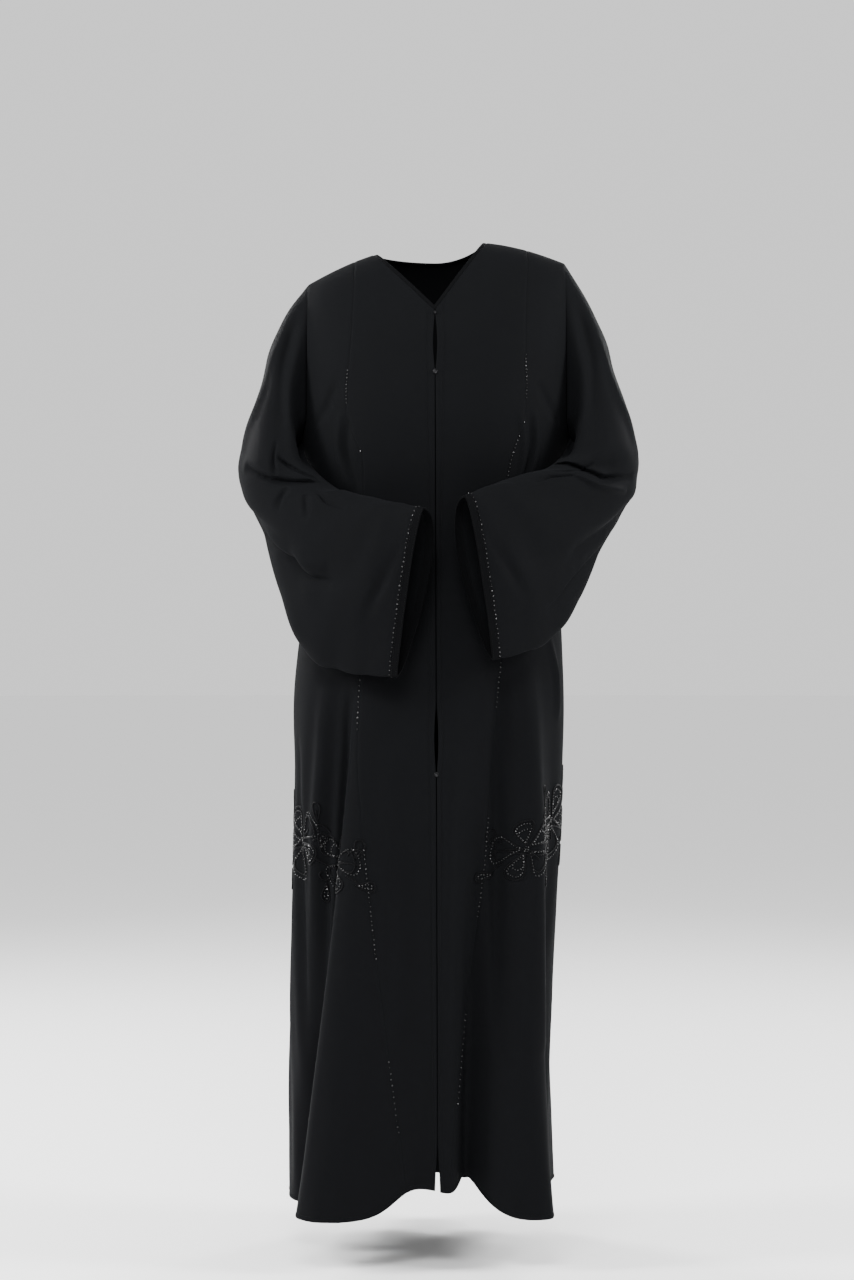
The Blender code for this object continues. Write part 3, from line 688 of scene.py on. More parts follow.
def skin(around, height):
    """A point of the body by its angle all the way round, from the centre front, and its height."""
    around, height = np.broadcast_arrays(np.asarray(around, float), np.asarray(height, float))
    turned = (around + np.pi) % (2.0 * np.pi) - np.pi
    points = np.zeros(turned.shape + (3,))
    for side in (RIGHT, LEFT):
        for face in (FRONT, BACK):
            here = (turned * side >= 0.0) & ((np.abs(turned) <= np.pi / 2.0) == (face == FRONT))
            angle = np.abs(turned) if face == FRONT else np.pi - np.abs(turned)
            if here.any():
                points[here] = body_point(side, face, angle[here], height[here])
    return points


def skin_facing(around, height):
    """Outward direction of the body, from small steps round it and up it."""
    step = 0.004
    by_around = skin(around + step, height) - skin(around - step, height)
    by_height = skin(around, height + step / 4.0) - skin(around, height - step / 4.0)
    return unit(np.cross(by_around, by_height))


def neck_line(side, face, across):
    """Height of the neck's edge: straight sides of the V in front, a shallow parabola behind."""
    share = np.clip(np.abs(across) / NECK_HALF[side], 0.0, 1.0)
    top = shoulder_height(side * NECK_HALF[side])
    if face == FRONT:
        return V_POINT_HEIGHT + (top - V_POINT_HEIGHT) * share
    return BACK_NECK_HEIGHT + (top - BACK_NECK_HEIGHT) * share**2


def column_angle(side, face, share, height):
    """Angle of a column. Its share is 0 at the centre, 1 at the princess seam, 2 at the side."""
    centre = seam_angle(side, edge_place(side, height), height) if face == FRONT else 0.0
    princess = seam_angle(side, princess_place(side, face, height), height)
    inner = centre + (princess - centre) * np.minimum(share, 1.0)
    return inner + (np.pi / 2.0 - princess) * np.maximum(share - 1.0, 0.0)


def high_point(side, face):
    """Share of the column that meets the high point of the shoulder."""
    top = shoulder_height(side * NECK_HALF[side])
    centre = column_angle(side, face, 0.0, np.array(top))
    princess = column_angle(side, face, 1.0, np.array(top))
    return float((seam_angle(side, side * NECK_HALF[side], top) - centre) / (princess - centre))


def column_shares(side, face):
    """Shares of all columns, closer together at the seams, and the number of the princess column."""
    high = high_point(side, face)
    close = np.array(CLOSE_COLUMNS)
    inner = [np.linspace(0.0, high, NECK_COLUMNS + 1), np.linspace(high, 1.0, YOKE_COLUMNS + 1), 1.0 - close]
    if face == FRONT:
        inner += [close, np.array(EDGE_STITCH_COLUMNS)]
    outer = [1.0 + np.linspace(0.0, 1.0, SIDE_COLUMNS + 1), 1.0 + close / 2.0, 2.0 - close / 2.0]
    inner = np.unique(np.round(np.concatenate(inner), 7))
    outer = np.unique(np.round(np.concatenate(outer), 7))[1:]
    return np.concatenate([inner, outer]), len(inner) - 1


def row_shares():
    """Shares of the way from the hem to the armpits, closer together at the rolled hem."""
    return np.concatenate([CLOSE_ROWS, np.linspace(0.018, 1.0, SKIRT_ROWS + 1 - len(CLOSE_ROWS))])


def body_grid(side, face):
    """Points in rows from the hem up and columns from the centre out to the side or armhole."""
    shares, _ = column_shares(side, face)
    inside_neck = shares <= high_point(side, face) + 1e-6
    top = np.full(len(shares), ARMPIT_HEIGHT)
    for _ in range(TOP_EDGE_STEPS):
        angle = column_angle(side, face, shares, top)
        across = side * side_reach(side, top) * signed_power(np.sin(angle), 2.0 / SECTION_POWER)
        top = np.where(inside_neck, neck_line(side, face, across), shoulder_height(across))
    low_angle = column_angle(side, face, shares, np.full(len(shares), HEM_HEIGHT))
    low = hem_height(side * low_angle if face == FRONT else side * (np.pi - low_angle))
    skirt = row_shares()[:, None]
    yoke = np.sin(np.linspace(0.0, np.pi / 2.0, YOKE_ROWS + 1))[1:, None]
    below, above = low + (ARMPIT_HEIGHT - low) * skirt, ARMPIT_HEIGHT + (top - ARMPIT_HEIGHT) * yoke
    heights = np.concatenate([below, above])
    angles = column_angle(side, face, shares[None, :], heights)
    return body_point(side, face, angles, heights)


def hem_height(around):
    """The hem's height at an angle round the body: level, with bell curves where it lifts."""
    height = np.full_like(around, HEM_HEIGHT)
    for rise in HEM_RISES:
        away = (np.degrees(around) - rise.angle + 180.0) % 360.0 - 180.0
        height = height + rise.rise * MM * np.exp(-((away / rise.half_width) ** 2))
    return height


def sleeve_ring(side, share, angles):
    """One ring of the sleeve: two half ellipses on the line from its outer to its inner edge.

    The angle is 0 on the outer line, 90 degrees on the front, 180 on the inner line.
    """
    sections = SLEEVE_SECTIONS[side]
    places = np.linspace(0.0, 1.0, len(sections))

    def at_share(name):
        return smooth_through(share, places, column(sections, name, 1.0))

    outer, inner = at_share("outer"), at_share("inner")
    front, rear, taper = at_share("front"), at_share("rear"), at_share("taper")
    turn = math.radians(at_share("turn"))
    facing = np.array([side * math.sin(turn), -math.cos(turn), 0.0])
    along, across = np.cos(angles), np.sin(angles)
    thick = np.where(across > 0.0, front, rear) * across * (1.0 - taper * along)
    points = (outer + inner) / 2.0 + along[:, None] * (outer - inner) / 2.0 + thick[:, None] * facing
    return points * MM


def sleeve_grid(side, front_grid, back_grid):
    """Rings from the armhole to the cuff's edge; the first ones ease over from the armhole's own loop."""
    rows = len(row_shares()) - 1
    loop = np.concatenate([front_grid[rows:, -1][::-1], back_grid[rows:, -1][1:-1]])
    angles = np.linspace(0.0, 2.0 * np.pi, len(loop), endpoint=False)
    first = loop - sleeve_ring(side, 0.0, angles)
    main, fine = sleeve_creases(SLEEVE_CREASES[side]), sleeve_creases(FINE_SLEEVE_CREASES[side])
    rings = []
    for share in np.linspace(0.0, 1.0, SLEEVE_RINGS):
        ring = sleeve_ring(side, share, angles)
        outward = unit(ring - ring.mean(axis=0))
        across = angles * SLEEVE_METRIC
        along = np.full_like(angles, share * SLEEVE_TURN)
        reach = hollow_reach(main, across, along) + crease_reach(fine, across, along)
        slack = np.cos(3.0 * angles + 24.0 * share) * np.sin(17.0 * share + 2.0 * angles)
        reach = reach + SLEEVE_SLACK * slack
        ring = ring + outward * (reach * smooth_step(share / CREASE_FADE))[:, None]
        rings.append(ring + first * (1.0 - smooth_step(share / ARMHOLE_FADE)))
    return np.stack(rings)


def cut_at_band(rings):
    """The sleeve up to its cuff band, and the band's rows from there to the cuff's edge."""
    back_from_edge = np.linalg.norm(np.diff(rings, axis=0), axis=2)[::-1].cumsum(axis=0)[::-1].mean(axis=1)
    keep = int(np.sum(back_from_edge > CUFF_WIDTH * 1.15))
    last, before = rings[-1], rings[-3]
    way = unit(before - last)
    start = last + way * CUFF_WIDTH
    band = np.stack([start + (last - start) * share for share in np.linspace(0.0, 1.0, CUFF_ROWS)])
    return np.concatenate([rings[:keep], start[None]]), band


def grid_normals(grid, ring=False, beside=None):
    """Outward directions of a grid, from its rows' and columns' slopes."""
    by_row = np.gradient(grid, axis=0)
    if ring:
        by_column = np.roll(grid, -1, axis=1) - np.roll(grid, 1, axis=1)
    else:
        by_column = np.gradient(grid, axis=1)
    if beside is not None:
        by_column[: len(beside), -1] = (beside - grid[: len(beside), -2]) / 2.0
    return unit(np.cross(by_column, by_row))


def from_edge(grid, axis, last=False):
    """Distance along the cloth of each point from the grid's first or last row or column."""
    steps = np.linalg.norm(np.diff(grid, axis=axis), axis=2)
    if last:
        steps = np.flip(steps, axis=axis)
    zero = np.zeros_like(steps[:1] if axis == 0 else steps[:, :1])
    distance = np.concatenate([zero, np.cumsum(steps, axis=axis)], axis=axis)
    return np.flip(distance, axis=axis) if last else distance


def seam_dip(distance, size):
    """A seam's groove: a bell curve of the distance from it, with a faint raised allowance beside it."""
    groove = -np.exp(-((distance / SEAM_HALF_WIDTH) ** 2))
    allowance = 0.22 * np.exp(-(((distance - ALLOWANCE_PLACE) / ALLOWANCE_HALF_WIDTH) ** 2))
    return size * (groove + allowance)


def rolled_edge(distance, size):
    """A rolled, stitched edge: rounded off at the rim, proud of the cloth, with a groove at the stitches."""
    proud = smooth_step((ROLL_WIDTH - distance) / ROLL_EASE)
    rim = -1.6 * np.exp(-((distance / RIM_HALF_WIDTH) ** 2))
    groove = -0.8 * np.exp(-(((distance - STITCH_PLACE) / STITCH_HALF_WIDTH) ** 2))
    return size * (proud + rim + groove)


def new_mesh_piece(name, points, faces, material, corners=None, sharp=50.0):
    """Puts arrays of points and faces into a mesh object that rides on the part."""
    mesh = bpy.data.meshes.new(name)
    sides = faces.shape[1]
    mesh.vertices.add(len(points))
    mesh.vertices.foreach_set("co", np.ascontiguousarray(points, np.float32).ravel())
    mesh.loops.add(faces.size)
    mesh.loops.foreach_set("vertex_index", np.ascontiguousarray(faces, np.int32).ravel())
    mesh.polygons.add(len(faces))
    mesh.polygons.foreach_set("loop_start", np.arange(0, faces.size, sides, dtype=np.int32))
    mesh.update(calc_edges=True)
    if corners is not None:
        layer = mesh.uv_layers.new(name="cloth")
        layer.uv.foreach_set("vector", np.ascontiguousarray(corners, np.float32).ravel())
    mesh.shade_smooth()
    mesh.set_sharp_from_angle(angle=math.radians(sharp))
    mesh.materials.append(material)
    piece = bpy.data.objects.new(name, mesh)
    bpy.context.scene.collection.objects.link(piece)
    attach(piece, "root")
    return piece


def grid_squares(rows, columns, ring=False):
    """Squares of a grid as point numbers, and the same with a ring's last column counted on for its map."""
    last = columns if ring else columns - 1
    row, col = np.meshgrid(np.arange(rows - 1), np.arange(last), indexing="ij")
    row, col = row.ravel(), col.ravel()
    wrapped = (col + 1) % columns
    low, high, wide = row * columns, (row + 1) * columns, last + 1
    squares = np.stack([low + col, low + wrapped, high + wrapped, high + col], axis=1)
    low, high = row * wide, (row + 1) * wide
    mapped = np.stack([low + col, low + col + 1, high + col + 1, high + col], axis=1)
    return squares, mapped


def cloth_map(grid, ring=False):
    """Place of each point on the flat cloth, in metres: mean lengths along the rows and the columns."""
    wide = np.concatenate([grid, grid[:, :1]], axis=1) if ring else grid
    across = from_edge(wide, 1)
    along = from_edge(wide, 0).mean(axis=1, keepdims=True) + np.zeros_like(across)
    middle = across[:, across.shape[1] // 2 : across.shape[1] // 2 + 1]
    return np.stack([across - middle, along], axis=-1).reshape(-1, 2)


def cloth_wall(name, grid, normals, thickness, material, ring=False, flip=False):
    """A closed wall of even thickness: the grid, the same grid set in along its normals, and a rim."""
    rows, columns = grid.shape[:2]
    outer, inner = grid.reshape(-1, 3), (grid - normals * thickness).reshape(-1, 3)
    squares, mapped = grid_squares(rows, columns, ring)
    number = np.arange(rows * columns).reshape(rows, columns)
    if ring:
        low = np.stack([number[0], np.roll(number[0], -1)], axis=-1)
        high = np.stack([np.roll(number[-1], -1), number[-1]], axis=-1)
        border = np.concatenate([low, high])
    else:
        loop = np.concatenate([number[0, :-1], number[:-1, -1], number[-1, :0:-1], number[:0:-1, 0]])
        border = np.stack([loop, np.roll(loop, -1)], axis=-1)
    count = len(outer)
    rim = np.stack([border[:, 1], border[:, 0], border[:, 0] + count, border[:, 1] + count], axis=-1)
    faces = np.concatenate([squares, squares[:, ::-1] + count, rim])
    flat = cloth_map(grid, ring)
    places = flat[mapped]
    point_place = flat.reshape(rows, -1, 2)[:, :columns].reshape(-1, 2)
    rim_places = np.stack([point_place[border[:, 1]], point_place[border[:, 0]]] * 2, axis=1)[:, [0, 1, 3, 2]]
    corners = np.concatenate([places, places[:, ::-1], rim_places])
    if flip:
        faces, corners = faces[:, ::-1], corners[:, ::-1]
    return new_mesh_piece(name, np.concatenate([outer, inner]), faces, material, corners)


def evenly(points, facing, spacing):
    """Places at an even spacing along a path, with the path's direction and the cloth's facing there."""
    lengths = run_lengths(points)
    count = max(int(lengths[-1] / spacing), 1)
    at = (np.arange(count) + 0.5) * lengths[-1] / count

    def along(values, shift=0.0):
        return np.stack([np.interp(at + shift, lengths, values[:, k]) for k in range(3)], axis=1)

    out = unit(along(facing))
    way = unit(along(points, spacing / 4.0) - along(points, -spacing / 4.0))
    way = unit(way - out * np.sum(way * out, axis=1, keepdims=True))
    return along(points), way, out


def joined(line):
    """A closed line with its first point put again at its end."""
    return np.concatenate([line, line[:1]])


def spread(shape, faces, place, way, out, scale):
    """Copies of a small shape: its X along the way, its Z outwards, each at its place and scale."""
    aside = np.cross(out, way)
    turned = (
        shape[None, :, 0:1] * way[:, None] * scale[:, None, 0:1]
        + shape[None, :, 1:2] * aside[:, None] * scale[:, None, 1:2]
        + shape[None, :, 2:3] * out[:, None] * scale[:, None, 2:3]
    )
    points = (place[:, None] + turned).reshape(-1, 3)
    numbers = (faces[None] + np.arange(len(place))[:, None, None] * len(shape)).reshape(-1, faces.shape[1])
    return points, numbers


def ring_angles(count):
    """Even angles round a ring."""
    return np.arange(count) * 2.0 * np.pi / count


def tube_faces(count, sides, closed=False):
    """Triangles of a tube of rings, and the same on its map.

    An open tube ends in fans round two more points, whose place on the map is its last one.
    """
    squares, mapped = grid_squares(count + int(closed), sides, ring=True)
    squares = squares % (count * sides)
    faces, places = (np.concatenate([four[:, [0, 1, 2]], four[:, [0, 2, 3]]]) for four in (squares, mapped))
    if closed:
        return faces, places
    near, far = np.arange(sides), (np.arange(sides) + 1) % sides
    low = np.stack([far, near, np.full(sides, count * sides)], axis=1)
    high = np.stack([near, far, np.full(sides, sides + 1)], axis=1) + (count - 1) * sides
    fans = np.concatenate([low, high])
    return np.concatenate([faces, fans]), np.concatenate([places, np.full_like(fans, -1)])


def faceted_bead():
    """A cut glass bead 1 unit across: rings of 6 points, half a step apart, and its two poles."""
    rings = []
    for number, (radius, height) in enumerate(((0.28, -0.40), (0.5, 0.0), (0.28, 0.40))):
        angle = ring_angles(6) - number * np.pi / 6.0
        rings.append(np.stack([radius * np.cos(angle), radius * np.sin(angle), np.full(6, height)], axis=1))
    poles = np.array([[0.0, 0.0, -0.46], [0.0, 0.0, 0.46]])
    return np.concatenate([*rings, poles]), tube_faces(3, 6)[0]


def thread_stitch():
    """A stitch 1 unit long: a spindle of four rings of 5 points with closed ends."""
    turn, rings = ring_angles(5), []
    for along, radius, lift in STITCH_RINGS:
        across, up = radius * np.cos(turn), lift + radius * np.sin(turn)
        rings.append(np.stack([np.full(5, along), across, up], axis=1))
    ends = np.array([[-0.5, 0.0, -0.35], [0.5, 0.0, -0.35]])
    return np.concatenate([*rings, ends]), tube_faces(4, 5)[0]


def cord_piece(name, paths, width, height, material):
    """Flattened tubes along paths on the cloth, with domed ends and a map along and round each.

    Each path is its points, the cloth's facing there, and whether it closes on itself.
    """
    turn = ring_angles(CORD_SIDES)
    points, faces, corners, used = [], [], [], 0
    for line, facing, closed in paths:
        if closed:
            way = unit(np.roll(line, -1, axis=0) - np.roll(line, 1, axis=0))
            lengths, size = run_lengths(joined(line)), np.ones(len(line))
        else:
            way, lengths = unit(np.gradient(line, axis=0)), run_lengths(line)
            ends = np.clip(np.minimum(lengths, lengths[-1] - lengths) / (width * 0.9), 0.0, 1.0)
            size = 0.12 + 0.88 * np.sqrt(np.clip(1.0 - (1.0 - ends) ** 2, 0.0, 1.0))
        aside, middle = unit(np.cross(facing, way)), line + facing * height * 0.32
        wide = np.outer(size, np.cos(turn) * width / 2.0)[..., None]
        thick = np.outer(size, np.sin(turn) * height / 2.0)[..., None]
        tube = middle[:, None] + aside[:, None] * wide + facing[:, None] * thick
        numbers, mapped = tube_faces(len(line), CORD_SIDES, closed)
        flat = np.stack(np.meshgrid(lengths, np.arange(CORD_SIDES + 1) / CORD_SIDES, indexing="ij"), axis=-1)
        flat = np.concatenate([flat.reshape(-1, 2), np.zeros((1, 2))])
        ends = middle[[0, -1]][: 0 if closed else 2]
        points += [tube.reshape(-1, 3), ends]
        faces.append(numbers + used)
        corners.append(flat[mapped])
        used += len(line) * CORD_SIDES + len(ends)
    points, faces, corners = (np.concatenate(parts) for parts in (points, faces, corners))
    return new_mesh_piece(name, points, faces, material, corners, sharp=80.0)


def turned_profile(name, profile, centre, out, material, sides=36):
    """A profile of radii and heights turned about an axis that points outwards."""
    aside, turn = unit(np.cross(np.array([0.0, 0.0, 1.0]), out)), ring_angles(sides)[:, None]
    round_axis = aside * np.cos(turn) + np.cross(out, aside) * np.sin(turn)
    rings = [centre + out * height + round_axis * radius for radius, height in profile]
    ends = [centre + out * height for _, height in (profile[0], profile[-1])]
    faces, _ = tube_faces(len(profile), sides)
    return new_mesh_piece(name, np.concatenate([*rings, ends]), faces, material, sharp=40.0)


def feed(tree, node, values):
    """Gives a node's inputs, by name or number, a value or a socket to take it from."""
    for name, value in values.items():
        if isinstance(value, bpy.types.NodeSocket):
            tree.links.new(value, node.inputs[name])
        else:
            node.inputs[name].default_value = value
    return node


def new_node(tree, kind, values):
    """A new node with its inputs fed."""
    return feed(tree, tree.nodes.new(kind), values)


def new_material(name):
    """A material whose emptied node tree has a Principled shader joined to its output."""
    material = bpy.data.materials.new(name)
    material.use_nodes = True
    tree = material.node_tree
    tree.nodes.clear()
    shader = new_node(tree, "ShaderNodeBsdfPrincipled", {})
    output = new_node(tree, "ShaderNodeOutputMaterial", {"Surface": shader.outputs["BSDF"]})
    output.location, shader.location = (400, 0), (100, 0)
    return material, tree, shader


def new_group(name, inputs):
    """A shader node group with named number inputs, which puts out a height and a tone."""
    group = bpy.data.node_groups.new(name, "ShaderNodeTree")
    for label, default in inputs:
        socket = group.interface.new_socket(name=label, in_out="INPUT", socket_type="NodeSocketFloat")
        socket.default_value = default
    for label in ("Height", "Tone"):
        group.interface.new_socket(name=label, in_out="OUTPUT", socket_type="NodeSocketFloat")
    start, end = group.nodes.new("NodeGroupInput"), group.nodes.new("NodeGroupOutput")
    start.location, end.location = (-900, 0), (700, 0)
    return group, start.outputs, end


def maths(tree, operation, *values):
    """A Math node fed by sockets or numbers."""
    node = tree.nodes.new("ShaderNodeMath")
    node.operation = operation
    return feed(tree, node, dict(enumerate(values))).outputs[0]


def noise(tree, place, scale, detail=2.0, roughness=0.5):
    """The mask of a noise texture on a map."""
    values = {"Vector": place, "Scale": scale, "Detail": detail, "Roughness": roughness}
    return new_node(tree, "ShaderNodeTexNoise", values).outputs["Fac"]


def cloth_place(tree):
    """The map of the flat cloth or of the cord, in metres."""
    place = tree.nodes.new("ShaderNodeUVMap")
    place.uv_map = "cloth"
    return place.outputs["UV"]


def object_place(tree):
    """Places in the object's own axes."""
    return tree.nodes.new("ShaderNodeTexCoord").outputs["Object"]


def crepe_group():
    """Pebbled crepe: fine grains from noise on the cloth's map, crossed threads and slow cloudy tone."""
    found = bpy.data.node_groups.get("crepe grain")
    if found:
        return found
    inputs = (("Grains per metre", 1500.0), ("Threads per metre", 1900.0), ("Cloud", 0.10))
    group, given, end = new_group("crepe grain", inputs)
    place = cloth_place(group)
    grain = noise(group, place, given["Grains per metre"], roughness=0.6)
    scale = maths(group, "DIVIDE", given["Threads per metre"], 2.0 * math.pi)
    values = {"Vector": place, "Scale": scale, "Distortion": 3.0, "Detail": 1.0, "Detail Scale": 0.6}
    threads = [new_node(group, "ShaderNodeTexWave", values) for _ in range(2)]
    threads[0].bands_direction, threads[1].bands_direction = "X", "Y"
    crossed = maths(group, "ADD", threads[0].outputs["Fac"], threads[1].outputs["Fac"])
    height = maths(group, "MULTIPLY_ADD", crossed, 0.22, maths(group, "MULTIPLY", grain, 0.7))
    cloud = maths(group, "SUBTRACT", noise(group, place, 26.0, 4.0), 0.5)
    tone = maths(group, "MULTIPLY", cloud, given["Cloud"])
    tone = maths(group, "MULTIPLY_ADD", maths(group, "SUBTRACT", grain, 0.5), 0.5, tone)
    feed(group, end, {"Height": height, "Tone": maths(group, "ADD", tone, 1.0)})
    return group


def twist_group():
    """Laid threads of a cord: slanted sine bands on the cord's own map, a little uneven."""
    found = bpy.data.node_groups.get("thread twist")
    if found:
        return found
    group, given, end = new_group("thread twist", (("Threads per metre", 2600.0), ("Slant", 9.0)))
    place = cloth_place(group)
    split = new_node(group, "ShaderNodeSeparateXYZ", {"Vector": place})
    along = maths(group, "MULTIPLY", split.outputs["X"], given["Threads per metre"])
    band = maths(group, "SINE", maths(group, "MULTIPLY_ADD", split.outputs["Y"], given["Slant"], along))
    uneven = noise(group, place, 420.0)
    tone = maths(group, "MULTIPLY_ADD", band, 0.22, 1.0)
    tone = maths(group, "MULTIPLY", tone, maths(group, "ADD", uneven, 0.5))
    feed(group, end, {"Height": maths(group, "MULTIPLY_ADD", band, 0.5, uneven), "Tone": tone})
    return group


def tinted(tree, colour, tone):
    """A colour brightened and darkened by a tone."""
    mix = tree.nodes.new("ShaderNodeVectorMath")
    mix.operation = "SCALE"
    return feed(tree, mix, {0: colour[:3], "Scale": tone}).outputs["Vector"]


def woven(tree, shader, group_tree, density, colour, strength, depth):
    """Gives a shader a group's tone and bumps and returns its height. The density is its first input."""
    group = tree.nodes.new("ShaderNodeGroup")
    group.node_tree = group_tree
    group.inputs[0].default_value = density
    height = group.outputs["Height"]
    relief = new_node(tree, "ShaderNodeBump", {"Strength": strength, "Distance": depth, "Height": height})
    tone = tinted(tree, colour, group.outputs["Tone"])
    feed(tree, shader, {"Normal": relief.outputs["Normal"], "Base Color": tone})
    return height


def cloth_material(name, colour, roughness, sheen, grains, bump):
    """Matt crepe: pebbled bump, a slightly uneven tone and a soft sheen."""
    found = bpy.data.materials.get(name)
    if found:
        return found
    material, tree, shader = new_material(name)
    height = woven(tree, shader, crepe_group(), grains, colour, bump, 0.0003)
    rough = maths(tree, "MULTIPLY_ADD", height, 0.10, roughness - 0.05)
    feed(tree, shader, {"Roughness": rough, "Specular IOR Level": 0.01})
    feed(tree, shader, {"Sheen Weight": sheen, "Sheen Roughness": 0.45, "Sheen Tint": (0.80, 0.83, 0.9, 1.0)})
    return material


def cord_material(name, colour, roughness, threads):
    """Satin cord or thread: laid threads in the bump and the tone."""
    found = bpy.data.materials.get(name)
    if found:
        return found
    material, tree, shader = new_material(name)
    woven(tree, shader, twist_group(), threads, colour, 0.7, 0.0002)
    feed(tree, shader, {"Roughness": roughness, "Specular IOR Level": 0.03})
    feed(tree, shader, {"Sheen Weight": 0.01, "Sheen Roughness": 0.3})
    return material


def bead_material(colour):
    """Cut jet glass, with each bead a little lighter or darker by its place."""
    found = bpy.data.materials.get("jet bead")
    if found:
        return found
    material, tree, shader = new_material("jet bead")
    uneven = noise(tree, object_place(tree), 450.0, 0.0)
    tone = tinted(tree, colour, maths(tree, "MULTIPLY_ADD", uneven, 1.6, 0.2))
    dull = maths(tree, "MULTIPLY_ADD", maths(tree, "POWER", uneven, 3.0), 1.6, 0.04)
    feed(tree, shader, {"Base Color": tone, "Roughness": dull, "Specular IOR Level": 0.60})
    return material


def metal_material(colour):
    """Dark plated metal, faintly worn."""
    found = bpy.data.materials.get("dark metal")
    if found:
        return found
    material, tree, shader = new_material("dark metal")
    worn = noise(tree, object_place(tree), 900.0, 3.0)
    tone = tinted(tree, colour, maths(tree, "MULTIPLY_ADD", worn, 0.6, 0.7))
    rough = maths(tree, "MULTIPLY_ADD", worn, 0.25, 0.16)
    feed(tree, shader, {"Base Color": tone, "Roughness": rough, "Metallic": 1.0})
    return material


def floor_material(colour):
    """Plain pale floor with a faint unevenness of gloss."""
    material, tree, shader = new_material("pale floor")
    rough = maths(tree, "MULTIPLY_ADD", noise(tree, object_place(tree), 3.0), 0.1, 0.7)
    feed(tree, shader, {"Roughness": rough, "Base Color": (*colour, 1.0)})
    return material


def black_crepe():
    """The crepe of the panels and sleeves."""
    return cloth_material("black crepe", bpy.context.scene.cloak_cloth.colour, 0.66, 0.006, 1500.0, 0.55)


def black_trim():
    """The finer cloth of the bands and the binding."""
    return cloth_material("black trim", bpy.context.scene.cloak_cloth.trim_colour, 0.60, 0.005, 1900.0, 0.45)


class Shapes:
    """The surfaces that several operators share, worked out once."""

    grids = {}
    normals = {}
    sleeves = {}
    bands = {}
    edges = {}


def share_normals(normals):
    """Gives the side seams and the centre back one direction of thickness."""
    lower = len(row_shares())
    for side in (RIGHT, LEFT):
        front, back = normals[side, FRONT], normals[side, BACK]
        both = unit(front[:, -1] + back[:, -1])
        front[:lower, -1], back[:lower, -1] = both[:lower], both[:lower]
    middle = unit(normals[RIGHT, BACK][:, 0] + normals[LEFT, BACK][:, 0])
    normals[RIGHT, BACK][:, 0] = middle
    normals[LEFT, BACK][:, 0] = middle


def work_out_shapes():
    """All grids and outward directions of the body and the sleeves."""
    grids = {(side, face): body_grid(side, face) for side in (RIGHT, LEFT) for face in (FRONT, BACK)}
    normals = {}
    lower = len(row_shares()) - 1
    for side in (RIGHT, LEFT):
        for face, other in ((FRONT, BACK), (BACK, FRONT)):
            facing = grid_normals(grids[side, face], beside=grids[side, other][:lower, -2])
            normals[side, face] = facing * (side * face * -1.0)
    share_normals(normals)
    for side in (RIGHT, LEFT):
        rings = sleeve_grid(side, grids[side, FRONT], grids[side, BACK])
        facing = grid_normals(rings, ring=True) * side
        tube, band = cut_at_band(rings)
        Shapes.sleeves[side] = (tube, grid_normals(tube, ring=True) * side)
        Shapes.bands[side] = (band, np.broadcast_to(facing[-2], band.shape).copy())
    Shapes.grids, Shapes.normals = grids, normals


def length(name, description, default):
    """A length that the panel shows."""
    return bpy.props.FloatProperty(name=name, description=description, default=default, unit="LENGTH")


def shade(name, description, default):
    """A colour that the panel shows."""
    return bpy.props.FloatVectorProperty(
        name=name, description=description, default=default, subtype="COLOR", size=3
    )


class ClothSizes(bpy.types.PropertyGroup):
    """Sizes and colours of the cloth pieces."""

    thickness: length("Cloth thickness", "Thickness of the crepe as drawn", 0.0009)
    seam_depth: length("Seam depth", "How far a sewn seam sinks into the cloth", 0.00045)
    hem_roll: length("Hem roll", "How far the rolled hem stands proud", 0.0005)
    band_thickness: length("Band thickness", "Thickness of the folded cuff band", 0.0018)
    colour: shade("Crepe colour", "Colour of the main cloth", (0.0040, 0.0042, 0.0047))
    trim_colour: shade("Trim colour", "Colour of bands and binding", (0.0027, 0.0028, 0.0031))


class SewingSizes(bpy.types.PropertyGroup):
    """Sizes and colours of stitches, beads, cords and closures."""

    stitch_length: length("Stitch length", "Length of one machine stitch", 0.0026)
    stitch_spacing: length("Stitch spacing", "Distance from one stitch to the next", 0.0033)
    stitch_width: length("Thread width", "Width of the sewing thread", 0.0005)
    bead_size: length("Bead size", "Size across a cut bead", 0.0023)
    cord_width: length("Cord width", "Width of the satin cord", 0.0024)
    cord_height: length("Cord height", "Height of the satin cord over the cloth", 0.0016)
    thread_colour: shade("Thread colour", "Colour of the sewing thread", (0.005, 0.005, 0.0056))
    bead_colour: shade("Bead colour", "Colour of the cut beads", (0.0030, 0.0030, 0.0034))
    cord_colour: shade("Cord colour", "Colour of the satin cord", (0.0027, 0.0027, 0.0031))
    metal_colour: shade("Metal colour", "Colour of hook and snaps", (0.016, 0.016, 0.017))


class StageSizes(bpy.types.PropertyGroup):
    """Floor, light and camera."""

    floor_height: length("Floor height", "Height of the floor under the hem", -1.412)
    floor_colour: shade("Floor colour", "Colour of the floor", (0.90, 0.90, 0.90))
    light: bpy.props.FloatProperty(
        name="Light", description="Strength of the studio lights over their default", default=1.0, min=0.0
    )


def finished_grid(side, face, columns, first=None):
    """A panel's grid with its hem rolled and its seams sunk in, and its normals.

    Its first column is a seam, a rolled edge, or neither at the centre back.
    """
    sizes = bpy.context.scene.cloak_cloth
    grid, facing = Shapes.grids[side, face][:, columns], Shapes.normals[side, face][:, columns]
    offset = rolled_edge(from_edge(grid, 0), sizes.hem_roll)
    if first == "seam":
        offset = offset + seam_dip(from_edge(grid, 1), sizes.seam_depth)
    elif first == "edge":
        offset = offset + rolled_edge(from_edge(grid, 1), sizes.hem_roll * FRONT_ROLL_SHARE)
    for axis in (1, 0):
        offset = offset + seam_dip(from_edge(grid, axis, last=True), sizes.seam_depth)
    return grid + facing * offset[..., None], facing


